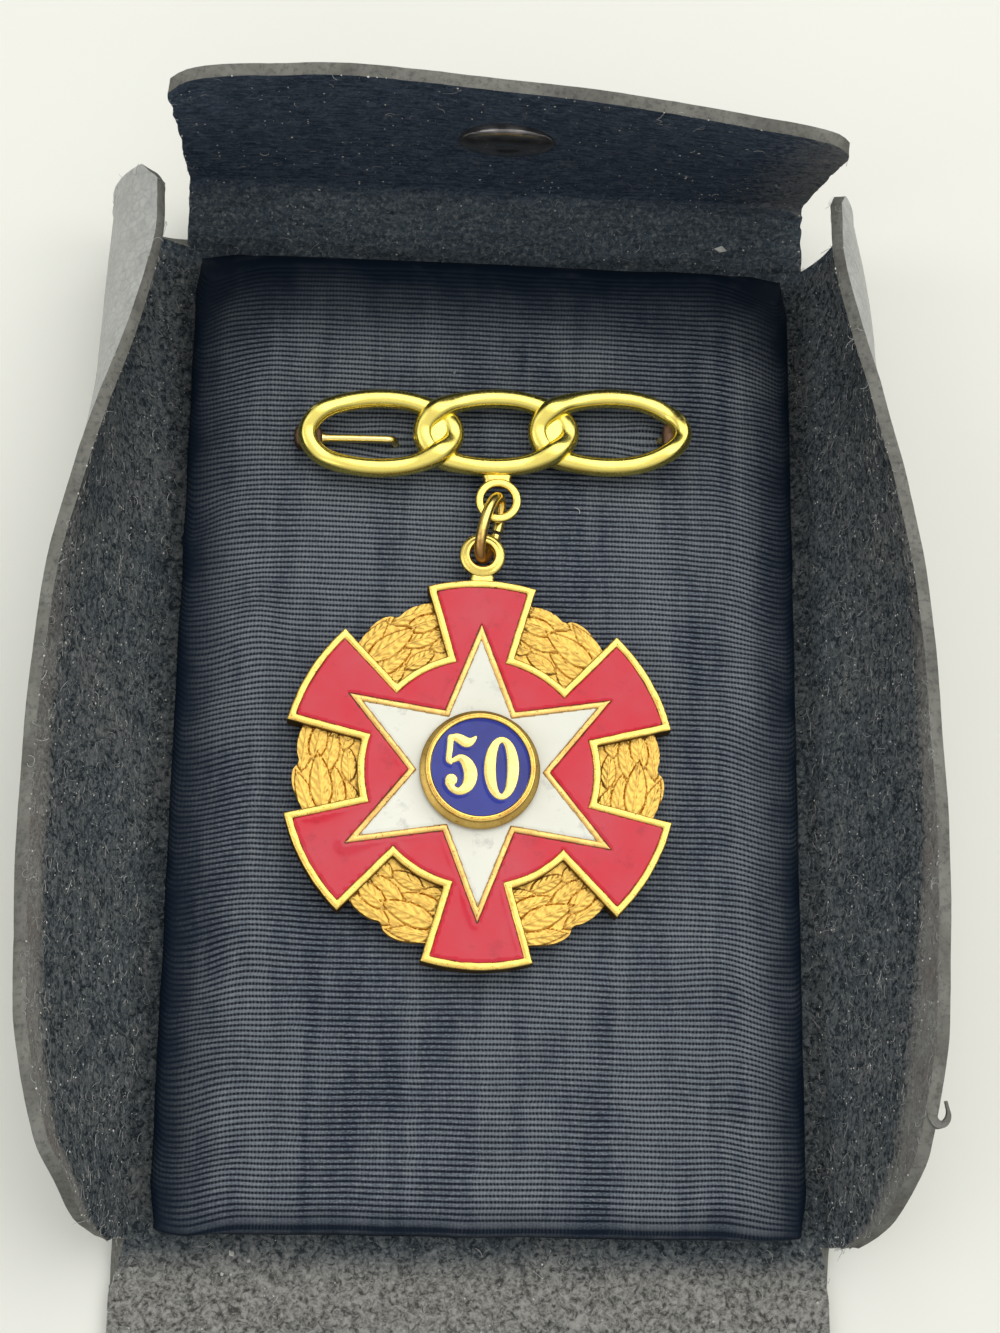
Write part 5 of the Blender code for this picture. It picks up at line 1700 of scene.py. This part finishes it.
def stage():
    shape = bmesh.new()
    bmesh.ops.create_grid(shape, x_segments=2, y_segments=2, size=1.5)
    mesh = bpy.data.meshes.new("floor")
    shape.to_mesh(mesh)
    shape.free()
    floor = bpy.data.objects.new("floor", mesh)
    bpy.context.scene.collection.objects.link(floor)
    floor.location.z = -0.00005
    floor.data.materials.append(MAT["floor"])

    def area(name, place, size, power, colour):
        light = bpy.data.lights.new(name, "AREA")
        light.shape = "RECTANGLE"
        light.size, light.size_y = size
        light.energy = power
        light.color = colour
        obj = bpy.data.objects.new(name, light)
        bpy.context.scene.collection.objects.link(obj)
        obj.location = place
        obj.rotation_euler = (-Vector(place)).to_track_quat("-Z", "Y").to_euler()

    area("key", *KEY_LIGHT)
    area("fill", *FILL_LIGHT)
    world = bpy.data.worlds.new("studio")
    world.use_nodes = True
    tree = world.node_tree
    sky = tree.nodes["Background"]
    where = tree.nodes.new("ShaderNodeTexCoord")
    split = tree.nodes.new("ShaderNodeSeparateXYZ")
    level = tree.nodes.new("ShaderNodeMapRange")
    tint = tree.nodes.new("ShaderNodeMix")
    tint.data_type = "RGBA"
    level.inputs["From Min"].default_value, level.inputs["From Max"].default_value = 0.0, 0.85
    tint.inputs[6].default_value, tint.inputs[7].default_value = (0.10, 0.105, 0.115, 1), (1.0, 1.0, 1.0, 1)
    tree.links.new(where.outputs["Generated"], split.inputs["Vector"])
    tree.links.new(split.outputs["Z"], level.inputs["Value"])
    tree.links.new(level.outputs["Result"], tint.inputs["Factor"])
    tree.links.new(tint.outputs[2], sky.inputs["Color"])
    sky.inputs["Strength"].default_value = SKY_STRENGTH
    bpy.context.scene.world = world

    lens = bpy.data.cameras.new("camera")
    lens.lens, lens.sensor_width, lens.clip_start = CAMERA_LENS, 36.0, 0.01
    camera = bpy.data.objects.new("camera", lens)
    bpy.context.scene.collection.objects.link(camera)
    camera.location = CAMERA_PLACE
    camera.rotation_euler = [math.radians(turn) for turn in CAMERA_TURN]
    bpy.context.scene.camera = camera
    bpy.context.scene.view_settings.view_transform = "Standard"


MAT = {
    "leather_inside": leather_inside(),
    "leather_outside": leather_outside(),
    "leather_edge": leather_edge(),
    "ribbed_cloth": ribbed_cloth(),
    "gilt": gold("gilt", (0.93, 0.73, 0.18), (0.68, 0.45, 0.10), rough=0.22, depth=0.000006),
    "gilt_link": gold(
        "gilt_link", (0.97, 0.82, 0.20), (0.84, 0.60, 0.12), rough=0.22, pits=0.12, depth=0.000002,
    ),
    "gilt_bright": gold("gilt_bright", (0.97, 0.80, 0.34), (0.85, 0.62, 0.20), rough=0.16, pits=0.2),
    # The ramps below paint shade, with grime: down the rims' sides into the enamel, in the wreath's grooves
    # and down the medallion cup's wall
    "gilt_rim": gold(
        "gilt_rim", (0.96, 0.70, 0.17), (0.78, 0.46, 0.11), rough=0.27, wear=0.6, pits=0.9,
        ramp=(PENDANT_FRONT - 0.00022, PENDANT_FRONT - 0.00002),
    ),
    "gilt_star": gold(
        "gilt_star", (0.88, 0.56, 0.18), (0.56, 0.33, 0.10), rough=0.30, wear=0.8, pits=1.0,
        ramp=(PENDANT_FRONT - 0.00026, PENDANT_FRONT - 0.00006),
    ),
    "gilt_matte": gold(
        "gilt_matte", (0.82, 0.52, 0.12), (0.66, 0.38, 0.085), rough=0.42, pits=0.5,
        ramp=(WREATH_TOP + GROOVE_LEVEL, WREATH_TOP + GROUND_LEVEL), shade=(0.44, 0.27, 0.075),
    ),
    "gilt_dull": gold("gilt_dull", (0.74, 0.53, 0.20), (0.55, 0.36, 0.12), rough=0.45),
    "gilt_cup": gold(
        "gilt_cup", (0.95, 0.68, 0.18), (0.62, 0.36, 0.09), rough=0.24, wear=0.8, pits=0.8,
        ramp=(PENDANT_FRONT - 0.0002, PENDANT_FRONT + 0.0011), shade=(0.22, 0.12, 0.03),
    ),
    "gilt_digit": gold("gilt_digit", (0.96, 0.76, 0.24), (0.75, 0.50, 0.14), rough=0.24, pits=0.4),
    "copper": gold("copper", (0.20, 0.12, 0.075), (0.08, 0.05, 0.035), rough=0.5, wear=0.9),
    "ring_gold": ring_gold(),
    "red_enamel": enamel(
        "red_enamel", (0.64, 0.004, 0.024), (0.60, 0.040, 0.064), (0.34, 0.005, 0.018), 0.4,
        border=(0.07, 0.020, 0.012),
    ),
    "white_enamel": enamel(
        "white_enamel", (0.77, 0.77, 0.66), (0.83, 0.83, 0.72), (0.38, 0.38, 0.35), 0.45,
        border=(0.50, 0.42, 0.27),
    ),
    "blue_enamel": enamel(
        "blue_enamel", (0.010, 0.016, 0.19), (0.022, 0.036, 0.31), (0.01, 0.01, 0.08), 0.3,
    ),
    "dark_metal": dark_metal(),
    "fibre": plain("fibre", (0.20, 0.21, 0.21), (0.52, 0.53, 0.50), 300, 0.9),
    "speck": plain("speck", (0.42, 0.42, 0.38), (0.74, 0.73, 0.68), 300, 0.9),
    "floor": plain("floor", (0.80, 0.80, 0.735), (0.82, 0.82, 0.755), 14, 0.85),
}

stage()
fluff(case_shell())
pad()
pendant()
medallion()
bar()
jump_ring()
press_stud()
